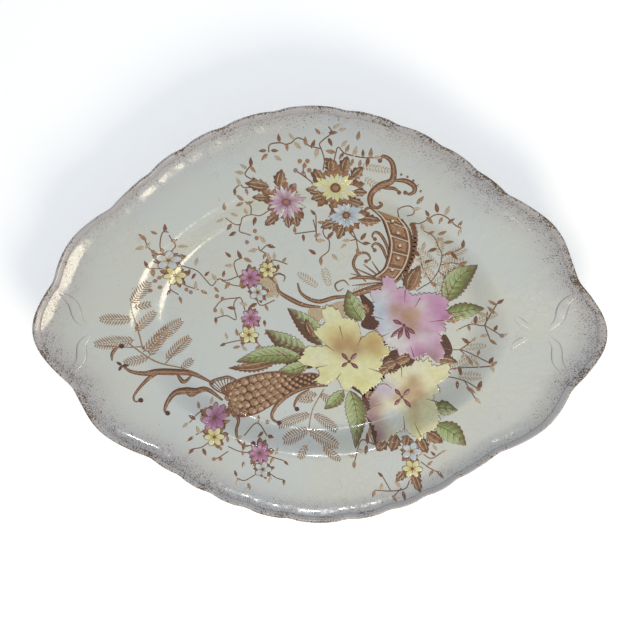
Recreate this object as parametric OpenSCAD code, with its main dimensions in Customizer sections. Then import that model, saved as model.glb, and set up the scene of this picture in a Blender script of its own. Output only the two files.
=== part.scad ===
// Two-lugged china serving platter: a pressed earthenware dish on a luted foot ring,
// glazed front and back, with sprigged lug scrolls, a gilt lip, brown print and enamel flowers.
// Millimetres. The foot stands on z = 0, +X runs to one lug and +Z points out of the well.

/* [Dish] */
// Length over the two lugs
length = 400; // [360:5:440]
// Width over the two long sides
width = 308; // [280:4:340]
// Height of the lip above the table
height = 38; // [34:1:44]
// Thickness of the floor, with its glaze
floor_t = 5; // [4.5:0.5:7]
// Thickness of the wall at the lip
lip_t = 3.4; // [2.8:0.2:4.6]
// Thickness of each coat of glaze
glaze_t = 0.3; // [0.2:0.05:0.5]

/* [Outline] */
// Squareness of the outline: 2 is an oval, and less is more pointed
squareness = 1.83; // [1.6:0.01:2]
// How far each lug stands out past the oval
lug_out = 30; // [22:0.5:34]
// Half angle that a lug takes up
lug_spread = 13; // [10:0.1:14]
// How far the shoulder lobes beside a lug stand out
shoulder_out = 13; // [8:0.5:16]
// Depth of the small notches between the scallops
notch_depth = 1; // [0.4:0.1:2]

/* [Well and rim] */
// Half length of the flat well
well_a = 110; // [95:1:118]
// Half width of the flat well
well_b = 84; // [72:1:92]
// Share of the rim's width that the curved side of the well takes
cavetto_share = 0.32; // [0.25:0.01:0.4]
// Share of the rim's width where the lip starts to turn up
lip_from = 0.78; // [0.7:0.01:0.88]
// Depth of the flutes that run in from the notches
flute_depth = 0.8; // [0:0.1:1.5]

/* [Foot ring] */
// Height of the foot ring
foot_h = 5; // [4.5:0.5:7]
// Width of the foot's standing face
foot_w = 4; // [3:0.5:6]
// Width of the foot where it is luted to the dish
foot_root_w = 9; // [7:0.5:11]
// How far the foot's middle line lies inside the well's edge
foot_in = 6; // [4:0.5:9]

/* [Decoration] */
// Height of the sprigged scrolls on the lugs
sprig_h = 1.2; // [0.8:0.1:1.8]
// Width of the sprigged scrolls
sprig_w = 5; // [4:0.5:7]
// Thickness of the gilding on the lip
gilt_t = 0.12; // [0.08:0.01:0.2]
// Thickness of the printed colour
print_t = 0.06; // [0.04:0.01:0.1]
// Thickness of the painted enamels
enamel_t = 0.12; // [0.08:0.01:0.2]

/* [Hidden] */

biscuit_colour = "#d8d2c2";
glaze_colour = "#d3d6d0";
gilt_colour = "#6b5a3c";
print_colour = "#7a4522";
leaf_colour = "#7f9355";

steps = 120;                            // stations round the dish
floor_z = foot_h + floor_t;             // top of the flat well
total_rise = height - floor_z;
cavetto_rise = total_rise * 0.44;       // what the curved side of the well climbs
marly_rise = total_rise * 0.33;         // what the rim climbs as an even slope
lip_rise = total_rise - cavetto_rise - marly_rise;
nose = lip_t * 0.45;                    // how far the rounded edge stands past the crest
oval_a = length / 2 - lug_out;
oval_b = width / 2;
shoulder_at = 22.8;                     // angle from the long axis to a shoulder lobe
shoulder_spread = 10.7;
shoulder_slump = 2.2;                   // how much fuller the lobes on the -Y side came out of the mould
skew = 2;                               // hand pressing turned opposite quarters by this many degrees
notch_at = [12.5, 36, 47, 57.5, 68.5, 81.5];
skewed_notch = 1;                       // the notch at the end of the shoulder lobe
notch_spread = 2.2;
flute_spread = 3.4;
print_lift = 0.01;
enamel_lift = print_lift + print_t + 0.02;
bloom_lift = enamel_lift + enamel_t + 0.02;

// Shares of the rim's width, from the well's edge to the crest of the lip.
face_shares = [0, 0.08, 0.16, 0.24, 0.32, 0.5, 0.78, 0.88, 0.95, 1];
under_shares = [1, 0.85, 0.6, 0.32, 0.2, 0.08, 0];
gilt_from = 0.95;

// ---- helpers ----
function total(v, i = 0) = i == len(v) ? 0 : v[i] + total(v, i + 1);
function bell(x, middle, spread) = exp(-pow((x - middle) / spread, 2));
function ease(t) = let (c = max(0, min(1, t))) c * c * (3 - 2 * c);
function at_angle(a, r, z) = [r * cos(a), r * sin(a), z];
function angles() = [for (i = [0 : steps - 1]) 360 * i / steps];

// A smooth line through the points, with k stations to each span.
function span_point(p, q, r, s, t) =
    0.5 * (2 * q + (r - p) * t + (2 * p - 5 * q + 4 * r - s) * t * t + (3 * q - p - 3 * r + s) * t * t * t);
function smooth_line(v, k = 4) = let (n = len(v)) [
    for (i = [0 : n - 2], j = [0 : k - 1])
        span_point(v[max(0, i - 1)], v[i], v[i + 1], v[min(n - 1, i + 2)], j / k),
    v[n - 1],
];

// ---- the dish's surfaces ----
function folded(a) = atan2(abs(sin(a)), abs(cos(a)));
function quarter_sign(a) = sign(sin(a) * cos(a));
function notches(a, spread) = let (d = folded(a), q = quarter_sign(a)) total([
    for (i = [0 : len(notch_at) - 1])
        bell(d, notch_at[i] + (i == skewed_notch ? q * skew : 0), spread),
]);
function oval_r(a) =
    pow(pow(abs(cos(a)) / oval_a, squareness) + pow(abs(sin(a)) / oval_b, squareness), -1 / squareness);
function lip_r(a) =
    oval_r(a)
    + lug_out * bell(folded(a), 0, lug_spread)
    + (shoulder_out + (sin(a) < 0 ? shoulder_slump : 0))
        * bell(folded(a), shoulder_at + quarter_sign(a) * skew * 0.7, shoulder_spread)
    - notch_depth * notches(a, notch_spread);
function well_r(a) = 1 / sqrt(pow(cos(a) / well_a, 2) + pow(sin(a) / well_b, 2));
function crest_r(a) = lip_r(a) - nose;
function rim_r(a, s) = well_r(a) + s * (crest_r(a) - well_r(a));
function face_z(a, s) =
    floor_z
    + cavetto_rise * ease(s / cavetto_share)
    + marly_rise * s
    + lip_rise * pow(max(0, (s - lip_from) / (1 - lip_from)), 2)
    - flute_depth * notches(a, flute_spread) * ease((s - 0.6) / 0.4);
function wall_t(s) = floor_t + (lip_t - floor_t) * s + 1.5 * sin(180 * s);
// Height of the glazed face over any point of the plan, read between the rings it is built from.
function face_over(p) = let (
    a = atan2(p[1], p[0]),
    s = (norm([p[0], p[1]]) - well_r(a)) / (crest_r(a) - well_r(a))
) lookup(s, [for (share = face_shares) [share, face_z(a, share)]]);

function face_ring(s, below = 0) = [for (a = angles()) at_angle(a, rim_r(a, s), face_z(a, s) - below)];
function under_ring(s, above = 0) =
    [for (a = angles()) at_angle(a, rim_r(a, s), face_z(a, s) - wall_t(s) + above)];
function nose_ring(inside = 0) =
    [for (a = angles()) at_angle(a, lip_r(a) - inside, face_z(a, 1) - lip_t / 2)];
function oval_ring(half_l, half_w, z) =
    [for (a = angles()) [half_l * cos(a), half_w * sin(a), z]];
function foot_oval(out, z) = oval_ring(well_a - foot_in + out, well_b - foot_in + out, z);

// ---- solids from rings of points ----
// The faces between two rings. From station turned on, their diagonals run the other way,
// so that the two sides of a thin film bend alike.
function strip(j, k, n, turned = 1e6) = [
    for (i = [0 : n - 1]) let (e = (i + 1) % n)
        each i < turned
            ? [[j * n + i, j * n + e, k * n + e], [j * n + i, k * n + e, k * n + i]]
            : [[j * n + i, j * n + e, k * n + i], [j * n + e, k * n + e, k * n + i]],
];

// Closed at both ends by a fan round a middle point. The rings from under_from on are the underside.
module capped(rings, first, last, under_from = 1e6) {
    n = len(rings[0]);
    m = len(rings);
    polyhedron(
        points = [for (ring = rings) each ring, first, last],
        faces = [
            for (j = [0 : m - 2]) each strip(j, j + 1, n, j < under_from ? 1e6 : 0),
            for (i = [0 : n - 1]) [m * n, (i + 1) % n, i],
            for (i = [0 : n - 1]) [(m - 1) * n + i, (m - 1) * n + (i + 1) % n, m * n + 1],
        ]
    );
}

// Each ring joined to the next, and the last to the first.
module hoop(rings) {
    n = len(rings[0]);
    m = len(rings);
    polyhedron(
        points = [for (ring = rings) each ring],
        faces = [for (j = [0 : m - 1]) each strip(j, (j + 1) % m, n)]
    );
}

// A film of colour lying on the face: outline is counter-clockwise round middle.
module film(outline, middle, lift, t, bands = [1]) {
    function laid(f, up) = [
        for (p = outline) let (q = middle + f * (p - middle)) [q[0], q[1], face_over(q) + up],
    ];
    m = len(bands);
    base = face_over(middle);
    capped(
        [
            for (f = bands) laid(f, lift + t),
            for (i = [m - 1 : -1 : 0]) laid(bands[i], lift),
        ],
        [middle[0], middle[1], base + lift + t],
        [middle[0], middle[1], base + lift],
        m
    );
}

// A stroke along a line on the face, w wide in its middle and thinner towards both ends.
module stroke(line, w, lift, h, ends = 0.35) {
    n = len(line);
    // Across and up, as shares of w and h: over the crown and back along the face.
    section = [[-0.5, 0], [-0.3, 0.8], [0, 1], [0.3, 0.8], [0.5, 0], [0.3, 0], [0, 0], [-0.3, 0]];
    function across(i) = let (d = line[min(n - 1, i + 1)] - line[max(0, i - 1)]) [-d[1], d[0]] / norm(d);
    function swell(i) = ends + (1 - ends) * sin(180 * i / (n - 1));
    rings = [
        for (i = [0 : n - 1]) [
            for (c = section) let (q = line[i] + across(i) * c[0] * w * swell(i))
                [q[0], q[1], face_over(q) + lift + c[1] * h * (1 + swell(i)) / 2],
        ],
    ];
    m = len(section);
    under = m - 2;
    last = (n - 1) * m;
    polyhedron(
        points = [for (ring = rings) each ring],
        faces = [
            for (j = [0 : n - 2]) each strip(j, j + 1, m, m / 2),
            for (i = [m - 1 : 2 * m - 4]) [under, i % m, (i + 1) % m],
            for (i = [m - 1 : 2 * m - 4]) [last + under, last + (i + 1) % m, last + i % m],
        ]
    );
}

// ---- ware ----
module biscuit_body() {
    color(biscuit_colour) capped(
        [
            for (s = face_shares) face_ring(s, glaze_t),
            nose_ring(glaze_t),
            for (s = under_shares) under_ring(s, glaze_t),
        ],
        [0, 0, floor_z - glaze_t],
        [0, 0, foot_h + glaze_t]
    );
}

module foot_ring() {
    root = foot_root_w / 2;
    sole = foot_w / 2;
    bevel = 0.6;
    color(biscuit_colour) hoop([
        foot_oval(-root, foot_h + glaze_t),
        foot_oval(root, foot_h + glaze_t),
        foot_oval(sole + bevel, 2 * bevel),
        foot_oval(sole, 0),
        foot_oval(-sole, 0),
        foot_oval(-sole - bevel, 2 * bevel),
    ]);
}

// The coat over the face, down to the middle of the lip's nose.
module face_glaze() {
    m = len(face_shares);
    color(glaze_colour) capped(
        [
            for (s = face_shares) face_ring(s),
            nose_ring(),
            nose_ring(glaze_t),
            for (i = [m - 1 : -1 : 0]) face_ring(face_shares[i], glaze_t),
        ],
        [0, 0, floor_z],
        [0, 0, floor_z - glaze_t]
    );
}

// The coat over the back, from the lip's nose in to the foot ring.
module back_glaze() {
    m = len(under_shares);
    root = foot_root_w / 2;
    color(glaze_colour) hoop([
        nose_ring(),
        for (s = under_shares) under_ring(s),
        foot_oval(root, foot_h),
        foot_oval(root, foot_h + glaze_t),
        for (i = [m - 1 : -1 : 0]) under_ring(under_shares[i], glaze_t),
        nose_ring(glaze_t),
    ]);
}

// The coat inside the foot ring.
module recess_glaze() {
    rim = foot_oval(-foot_root_w / 2, 0);
    color(glaze_colour)
        translate([0, 0, foot_h])
            linear_extrude(glaze_t)
                polygon([for (p = rim) [p[0], p[1]]]);
}

// A bracket of two scrolls that meet on the long axis, and a small leaf inside it.
module lug_scrolls(side) {
    bracket = [[178, 31], [171, 21], [169, 10], [163, 2.5]];
    leaf = [[138, 13], [143, 8], [151, 3]];
    for (half = [-1, 1]) {
        flip = [side, half];
        for (part = [bracket, leaf]) {
            line = smooth_line([for (p = part) [p[0] * flip[0], p[1] * flip[1]]]);
            stroke(line, part == bracket ? sprig_w : sprig_w * 0.7, 0.02, sprig_h, 0.3);
        }
    }
}

module lug_scroll_east() color(glaze_colour) lug_scrolls(1);

module lug_scroll_west() color(glaze_colour) lug_scrolls(-1);

// Gold over the crest of the lip and round to the middle of its nose.
module gilt_lip() {
    color(gilt_colour) hoop([
        face_ring(gilt_from, -gilt_t),
        face_ring(1, -gilt_t),
        nose_ring(-gilt_t),
        nose_ring(),
        face_ring(1),
        face_ring(gilt_from),
    ]);
}

// ---- brown print ----
// Horn of overlapping scales that the flowers spill out of.
module print_horn_basket() {
    edge = [
        [-66, -50], [-42, -39], [-16, -37], [2, -42],
        [-18, -56], [-38, -72], [-52, -80], [-64, -70],
    ];
    color(print_colour) film([for (i = [7 : -1 : 0]) edge[i]], [-40, -56], print_lift, print_t);
}

// Curved band of sunk panels, with the scroll that crowns it.
module print_coffered_scroll() {
    band = [[44, 84], [57, 77], [66, 66], [70, 53], [68, 42], [61, 33]];
    crown_scroll = [[50, 93], [44, 97], [47, 105], [56, 109], [60, 117], [54, 124]];
    side_scroll = [[64, 109], [71, 110], [77, 104], [72, 97]];
    color(print_colour) {
        stroke(smooth_line(band), 15, print_lift, print_t, 0.8);
        stroke(smooth_line(crown_scroll), 4, print_lift, print_t);
        stroke(smooth_line(side_scroll), 2.6, print_lift, print_t);
    }
}

// Scrolled branches: one out of the horn to the west and one arch over the blooms.
module print_branch_scrolls() {
    color(print_colour) {
        stroke(smooth_line([[-70, -50], [-90, -42], [-110, -38], [-132, -40], [-142, -33]]), 3.4, print_lift, print_t);
        stroke(smooth_line([[-111, -43], [-122, -50], [-132, -64], [-127, -69]]), 2.2, print_lift, print_t);
        stroke(smooth_line([[-72, -58], [-92, -56], [-106, -64], [-112, -78], [-104, -81]]), 3, print_lift, print_t);
        stroke(smooth_line([[-64, -82], [-62, -91], [-55, -95], [-49, -93]]), 2.6, print_lift, print_t);
        stroke(smooth_line([[-24, 22], [-10, 10], [10, 8], [32, 14], [44, 26]]), 3.4, print_lift, print_t);
    }
}

// Fern fronds on the west side, each a central rib.
module print_ferns() {
    ribs = [
        [[-98, -34], [-112, -10], [-119, 12], [-113, 29]],
        [[-113, -24], [-126, -18], [-143, -21]],
        [[-121, -4], [-131, 0], [-141, -4]],
        [[-98, -26], [-96, -12], [-84, 4]],
        [[-93, -36], [-84, -22], [-76, -14]],
    ];
    color(print_colour)
        for (rib = ribs) stroke(smooth_line(rib, 3), 1.4, print_lift, print_t);
}

// ---- enamels ----
// A round of pointed petals: depth is how far the gaps cut in, as a share of the radius.
function petals(middle, r, count, depth, turn, per_petal = 8) = [
    for (i = [0 : count * per_petal - 1]) let (
        a = turn + 360 * i / (count * per_petal),
        f = abs(cos(count * (a - turn) / 2))
    ) middle + r * (1 - depth + depth * pow(f, 0.7)) * [cos(a), sin(a)],
];

module bloom(middle, r, turn) {
    film(petals(middle, r, 5, 0.42, turn, 10), middle, bloom_lift, enamel_t, [0.55, 1]);
}

module aster(middle, r, turn) {
    film(petals(middle, r, 12, 0.4, turn, 4), middle, enamel_lift, enamel_t, [0.5, 1]);
}

module blossom(middle, r, turn) {
    film(petals(middle, r, 5, 0.35, turn, 4), middle, enamel_lift, enamel_t);
}

module leaf(base, tip, w) {
    along = tip - base;
    side = [-along[1], along[0]] / norm(along);
    half = 6;
    outline = [
        for (i = [0 : half]) base + along * i / half - side * w / 2 * sin(180 * pow(i / half, 0.85)),
        for (i = [half - 1 : -1 : 1]) base + along * i / half + side * w / 2 * sin(180 * pow(i / half, 0.85)),
    ];
    film(outline, base + along / 2, enamel_lift, enamel_t);
}

module enamel_leaves() {
    // base, tip, width
    leaves = [
        [[-20, -19], [-46, 2], 17], [[-18, -27], [-66, -38], 15], [[-9, -38], [-32, -44], 12],
        [[-2, -12], [-20, 14], 13], [[36, 6], [24, 28], 13], [[85, 22], [114, 46], 14],
        [[88, 9], [118, 13], 13], [[27, -68], [33, -94], 14], [[18, -62], [5, -68], 9],
        [[92, -72], [109, -90], 16],
    ];
    color(leaf_colour) for (l = leaves) leaf(l[0], l[1], l[2]);
}

module enamel_yellow_bloom() color("#d8d089") bloom([24, -26], 40, 108);

module enamel_violet_bloom() color("#a97a93") bloom([68, 9], 30, 60);

module enamel_cream_bloom() color("#d3c9a0") bloom([68, -58], 31, 75);

module enamel_pink_aster() color("#b07a9c") aster([-20, 91], 13, 0);

module enamel_yellow_aster() color("#d6cd84") aster([15, 102], 14, 10);

module enamel_blue_aster() color("#aab4bb") aster([21, 82], 10, 5);

module enamel_small_blossoms() {
    // middle, radius
    pink = [[[-46, 36], 6.5], [[-49, 5], 7], [[-79, -72], 9], [[-44, -100], 7.5]];
    white = [[[-103, 48], 6.5], [[-42, 26], 6], [[-42, -112], 6], [[71, -95], 6.5]];
    yellow = [[[-100, 36], 6.5], [[-34, 41], 6], [[-49, -9], 6], [[-79, -87], 7], [[72, -110], 6.5]];
    color("#b9789f") for (b = pink) blossom(b[0], b[1], 20);
    color("#d5dadf") for (b = white) blossom(b[0], b[1], 50);
    color("#dccf86") for (b = yellow) blossom(b[0], b[1], 0);
}

biscuit_body();
foot_ring();
face_glaze();
back_glaze();
recess_glaze();
lug_scroll_east();
lug_scroll_west();
gilt_lip();
print_horn_basket();
print_coffered_scroll();
print_branch_scrolls();
print_ferns();
enamel_leaves();
enamel_yellow_bloom();
enamel_violet_bloom();
enamel_cream_bloom();
enamel_pink_aster();
enamel_yellow_aster();
enamel_blue_aster();
enamel_small_blossoms();
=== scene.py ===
# %% [markdown]
# # A printed and hand-coloured serving platter
#
# The real platter is pressed from clay in a mould, fired once to biscuit, printed in brown
# from an inked tissue, dipped in glaze and fired again. Then the enamels and the gold are
# painted on and fired last. The lesson follows that order: ware, glaze, gold, print, enamels.
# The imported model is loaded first, because every piece below is laid on its measured shape.

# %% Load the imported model
import math
import random

import bmesh
import bpy
import numpy as np
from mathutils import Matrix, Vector


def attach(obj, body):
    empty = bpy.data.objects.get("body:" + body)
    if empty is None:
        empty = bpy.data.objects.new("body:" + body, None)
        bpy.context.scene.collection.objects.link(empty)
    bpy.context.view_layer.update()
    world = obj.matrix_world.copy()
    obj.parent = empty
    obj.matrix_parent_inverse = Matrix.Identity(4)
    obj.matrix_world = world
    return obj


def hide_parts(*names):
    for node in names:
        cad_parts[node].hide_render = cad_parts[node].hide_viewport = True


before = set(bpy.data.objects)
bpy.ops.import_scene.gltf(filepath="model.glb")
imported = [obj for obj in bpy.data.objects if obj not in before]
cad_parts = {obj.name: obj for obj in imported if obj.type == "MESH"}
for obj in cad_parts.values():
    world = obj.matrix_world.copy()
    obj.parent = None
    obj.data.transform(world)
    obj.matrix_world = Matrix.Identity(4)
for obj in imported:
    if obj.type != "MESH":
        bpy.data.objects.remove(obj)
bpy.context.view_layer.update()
MM = 0.001

# %% [markdown]
# ## The shape of the dish
#
# The plan is a pointed oval with a lug at each end, two shoulder lobes beside each lug, and
# small notches round the lip. One could model the outline point by point, but a formula says
# the same with a dozen numbers, and it can be asked for the height of the face anywhere. That
# is what lets the printed and painted work lie on a curved dish without any fitting.

# %% Sizes of the dish, in millimetres
LENGTH, WIDTH, HEIGHT = 400, 308, 38
FLOOR_T, LIP_T, FOOT_H = 5, 3.4, 5
WELL_A, WELL_B = 110, 84
LUG_OUT, LUG_SPREAD = 30, 13
SHOULDER_OUT, SHOULDER_AT, SHOULDER_SPREAD, SHOULDER_SLUMP = 13, 22.8, 10.7, 2.2
SQUARENESS, SKEW = 1.83, 2
NOTCH_AT = [12.5, 36, 47, 57.5, 68.5, 81.5]
NOTCH_DEPTH, NOTCH_SPREAD = 1, 2.2
FLUTE_DEPTH, FLUTE_SPREAD = 0.8, 3.4
CAVETTO_SHARE, LIP_FROM = 0.32, 0.78

FLOOR_Z = FOOT_H + FLOOR_T
RISE = HEIGHT - FLOOR_Z
CAVETTO_RISE, MARLY_RISE = RISE * 0.44, RISE * 0.33
LIP_RISE = RISE - CAVETTO_RISE - MARLY_RISE
NOSE = LIP_T * 0.45

# %% [markdown]
# The plan is worked out as a distance from the middle for each direction. A squarish oval comes
# first, then smooth bumps add the lugs and shoulders, and small dips cut the notches. The four
# quarters are alike but for a small skew and for the two lower shoulders, which reach out more.

# %% The outline of the lip
def bell(x, middle, spread):
    return np.exp(-((x - middle) / spread) ** 2)


def ease(t):
    t = np.clip(t, 0, 1)
    return t * t * (3 - 2 * t)


def folded(angle):
    return np.degrees(np.arctan2(np.abs(np.sin(angle)), np.abs(np.cos(angle))))


def quarter(angle):
    return np.sign(np.sin(angle) * np.cos(angle))


def notches(angle, spread):
    skewed = [SKEW * quarter(angle) if i == 1 else 0 for i in range(len(NOTCH_AT))]
    return sum(bell(folded(angle), at + s, spread) for at, s in zip(NOTCH_AT, skewed))


def lip_r(angle):
    oval = (np.abs(np.cos(angle)) / (LENGTH / 2 - LUG_OUT)) ** SQUARENESS
    oval = (oval + (np.abs(np.sin(angle)) / (WIDTH / 2)) ** SQUARENESS) ** (-1 / SQUARENESS)
    lobe = SHOULDER_OUT + np.where(np.sin(angle) < 0, SHOULDER_SLUMP, 0)
    lobe = lobe * bell(folded(angle), SHOULDER_AT + quarter(angle) * SKEW * 0.7, SHOULDER_SPREAD)
    lug = LUG_OUT * bell(folded(angle), 0, LUG_SPREAD)
    return oval + lug + lobe - NOTCH_DEPTH * notches(angle, NOTCH_SPREAD)

# %% [markdown]
# The height follows from how far a point lies between the well's edge and the lip: a steep curve
# up the side, a gentle slope along the rim and a curl at the lip. So does the wall's thickness.

# %% The height of the face
def well_r(angle):
    return 1 / np.sqrt((np.cos(angle) / WELL_A) ** 2 + (np.sin(angle) / WELL_B) ** 2)


def rim_width(angle):
    return lip_r(angle) - NOSE - well_r(angle)


def face_z(angle, share):
    curl = np.maximum(0, (share - LIP_FROM) / (1 - LIP_FROM)) ** 2
    flute = FLUTE_DEPTH * notches(angle, FLUTE_SPREAD) * ease((share - 0.6) / 0.4)
    return FLOOR_Z + CAVETTO_RISE * ease(share / CAVETTO_SHARE) + MARLY_RISE * share + LIP_RISE * curl - flute


def wall_t(share):
    return FLOOR_T + (LIP_T - FLOOR_T) * share + 1.5 * np.sin(math.pi * share)


def face_over(x, y):
    """Height of the glazed face over any point of the plan."""
    angle = np.arctan2(y, x)
    share = np.clip((np.hypot(x, y) - well_r(angle)) / rim_width(angle), 0, 1)
    return face_z(angle, share)


print("the lip is", round(float(lip_r(np.array(0.0)) * 2), 1), "mm from end to end")

# %% [markdown]
# ## Finishes
#
# Every finish is a small node tree on a Principled shader. Glaze is a clear glass coat, so it
# has a low roughness and a coat on top. Patterns read Object coordinates, which stay fixed to
# the dish, and colours that were brushed on by hand come from a colour stored on the mesh.

# %% Helpers for colours and node trees
def shade(red, green, blue):
    """A colour with channels from 0 to 255, as the linear light that shaders use."""
    part = np.array([red, green, blue]) / 255
    linear = np.where(part <= 0.04045, part / 12.92, ((part + 0.055) / 1.055) ** 2.4)
    return tuple(float(v) for v in linear) + (1.0,)


class Finish:
    """A material with a Principled shader, and short ways to add and join nodes."""

    def __init__(self, name, **sockets):
        self.material = bpy.data.materials.new(name)
        self.material.use_nodes = True
        self.tree = self.material.node_tree
        self.shader = self.tree.nodes["Principled BSDF"]
        for socket, value in sockets.items():
            self.shader.inputs[socket.replace("_", " ")].default_value = value
        self.place = self.add("ShaderNodeTexCoord").outputs["Object"]

    def add(self, kind, **settings):
        node = self.tree.nodes.new(kind)
        for key, value in settings.items():
            setattr(node, key, value)
        return node

    def join(self, value, socket):
        if hasattr(value, "is_output"):
            self.tree.links.new(value, socket)
        else:
            socket.default_value = value

    def noise(self, scale, detail=3.0, rough=0.55):
        node = self.add("ShaderNodeTexNoise")
        node.inputs["Scale"].default_value = scale
        node.inputs["Detail"].default_value = detail
        node.inputs["Roughness"].default_value = rough
        self.join(self.place, node.inputs["Vector"])
        return node.outputs["Fac"]

    def sums(self, operation, first, second):
        node = self.add("ShaderNodeMath", operation=operation)
        self.join(first, node.inputs[0])
        self.join(second, node.inputs[1])
        return node.outputs[0]

    def span(self, value, low, high, to_low=0.0, to_high=1.0):
        """The value, stretched so that low gives to_low and high gives to_high."""
        node = self.add("ShaderNodeMapRange", clamp=True)
        for number, entry in enumerate((value, low, high, to_low, to_high)):
            self.join(entry, node.inputs[number])
        return node.outputs[0]

    def blend(self, amount, under, over, mode="MIX"):
        node = self.add("ShaderNodeMix", data_type="RGBA", blend_type=mode)
        self.join(amount, node.inputs[0])
        self.join(under, node.inputs[6])
        self.join(over, node.inputs[7])
        return node.outputs[2]

    def stored(self, name, socket="Fac"):
        node = self.add("ShaderNodeAttribute", attribute_name=name)
        return node.outputs[socket]

    def colour(self, value):
        self.join(value, self.shader.inputs["Base Color"])

    def bump(self, height, strength, distance):
        node = self.add("ShaderNodeBump")
        node.inputs["Strength"].default_value = strength
        node.inputs["Distance"].default_value = distance
        self.join(height, node.inputs["Height"])
        self.join(node.outputs["Normal"], self.shader.inputs["Normal"])

# %% [markdown]
# ### Biscuit and glaze
#
# Biscuit is bare fired clay: matt, cream and a little gritty. It shows only on the sole of the
# foot. The glaze is cool white with a warm cast where the clay shows through, a net of fine
# crazing and a few dark kiln specks. Round the lip the potter dabbed gold with a sponge, which
# left a lilac-grey mist and thousands of flecks, closer together near the edge. Flecks as
# separate solids would be a huge mesh, so they are a pattern, and two numbers stored on the
# mesh, mist and sponge, say where they gather.

# %% The ware's finishes
GLAZE_WHITE = shade(190, 195, 193)
GLAZE_WARM = shade(197, 194, 176)


def biscuit_finish():
    clay = Finish("biscuit", Roughness=0.85)
    grain = clay.noise(900)
    clay.colour(clay.blend(clay.span(grain, 0.35, 0.7), shade(196, 180, 150), shade(214, 202, 178)))
    clay.bump(grain, 0.2, 0.0003)
    return clay.material


def glaze_finish(name, sponged):
    coat = Finish(name, Roughness=0.2, Coat_Weight=0.6, Coat_Roughness=0.05, IOR=1.5)
    cloudy = coat.span(coat.noise(14, 2), 0.35, 0.65)
    tint = coat.blend(coat.sums("MULTIPLY", cloudy, 0.5), GLAZE_WHITE, GLAZE_WARM)
    cells = coat.add("ShaderNodeTexVoronoi", feature="DISTANCE_TO_EDGE")
    cells.inputs["Scale"].default_value = 130
    coat.join(coat.place, cells.inputs["Vector"])
    craze = coat.span(cells.outputs["Distance"], 0.0, 0.035, 0.3, 0.0)
    craze = coat.sums("MULTIPLY", craze, coat.span(coat.noise(22), 0.45, 0.7))
    tint = coat.blend(craze, tint, shade(150, 146, 138))
    specks = coat.span(coat.noise(420, 1), 0.79, 0.83, 0.0, 0.7)
    tint = coat.blend(specks, tint, shade(110, 84, 60))
    if sponged:
        mist = coat.stored("mist")
        tint = coat.blend(mist, tint, shade(158, 150, 158))
        dabs = coat.sums("ADD", coat.noise(1300, 1.5, 0.6), coat.span(coat.noise(150), 0.3, 0.7, -0.06, 0.06))
        reach = coat.sums("SUBTRACT", 0.8, coat.stored("sponge"))
        fleck = coat.span(coat.sums("SUBTRACT", dabs, reach), 0.0, 0.05, 0.0, 0.85)
        tint = coat.blend(fleck, tint, shade(88, 74, 62))
    coat.colour(tint)
    coat.bump(coat.noise(110, 2.0), 0.24, 0.002)
    return coat.material


def gold_finish():
    gold = Finish("worn gold", Roughness=0.35, Coat_Weight=0.3, Coat_Roughness=0.1)
    rubbed = gold.sums("ADD", gold.noise(1000, 2), gold.span(gold.noise(60), 0.3, 0.7, -0.14, 0.14))
    kept = gold.span(gold.sums("ADD", rubbed, gold.stored("kept")), 0.82, 0.92)
    gold.colour(gold.blend(kept, shade(176, 171, 170), shade(98, 78, 54)))
    gold.join(gold.sums("MULTIPLY", kept, 0.55), gold.shader.inputs["Metallic"])
    return gold.material


BISCUIT = biscuit_finish()
GLAZE = glaze_finish("glaze", sponged=False)
SPONGED_GLAZE = glaze_finish("sponged glaze", sponged=True)
GOLD = gold_finish()
print("finishes for the ware:", BISCUIT.name, GLAZE.name, SPONGED_GLAZE.name, GOLD.name)

# %% [markdown]
# ## The pressed ware
#
# On the real dish one clay bat is pressed on a mould and its edge trimmed. Here a profile is
# spun into a round dish, and then each point is moved out to where the formula puts it: the
# distance from the middle says how far out it lies, from 0 in the middle of the well through 1
# at the well's edge and 2 at the crest of the lip to 3 on the nose, and the height says how far
# through the wall it is, from 0 on the underside to 1 on the face.

# %% A helper that finishes a piece
def settle(mesh, name, material, node=None):
    """Turns the faces outwards and gives the mesh an object, a finish and its part of the frame."""
    bm = bmesh.new()
    bm.from_mesh(mesh)
    bmesh.ops.recalc_face_normals(bm, faces=bm.faces[:])
    bm.to_mesh(mesh)
    bm.free()
    mesh.name = name
    mesh.materials.clear()
    mesh.materials.append(material)
    mesh.polygons.foreach_set("use_smooth", [True] * len(mesh.polygons))
    mesh.update()
    piece = bpy.data.objects.new(name, mesh)
    bpy.context.scene.collection.objects.link(piece)
    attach(piece, "root")
    if node:
        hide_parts(node)
    print(name, "has", len(mesh.polygons), "faces")
    return piece


def corners(mesh):
    """The mesh's points as rows of x, y and z."""
    spots = np.empty(len(mesh.vertices) * 3)
    mesh.vertices.foreach_get("co", spots)
    return spots.reshape(-1, 3)


def store(mesh, name, values):
    """Keeps one number for each point of the mesh."""
    kept = mesh.attributes.new(name, "FLOAT", "POINT")
    kept.data.foreach_set("value", np.asarray(values, dtype=np.float32))

# %% [markdown]
# A potter turns a profile on a wheel, and a spin does the same. The plan isn't round, so each
# point is then moved out along its own direction, which keeps the rings smooth.

# %% Spin a profile and move it out to the plan
SPIN_STEPS = 480


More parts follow.
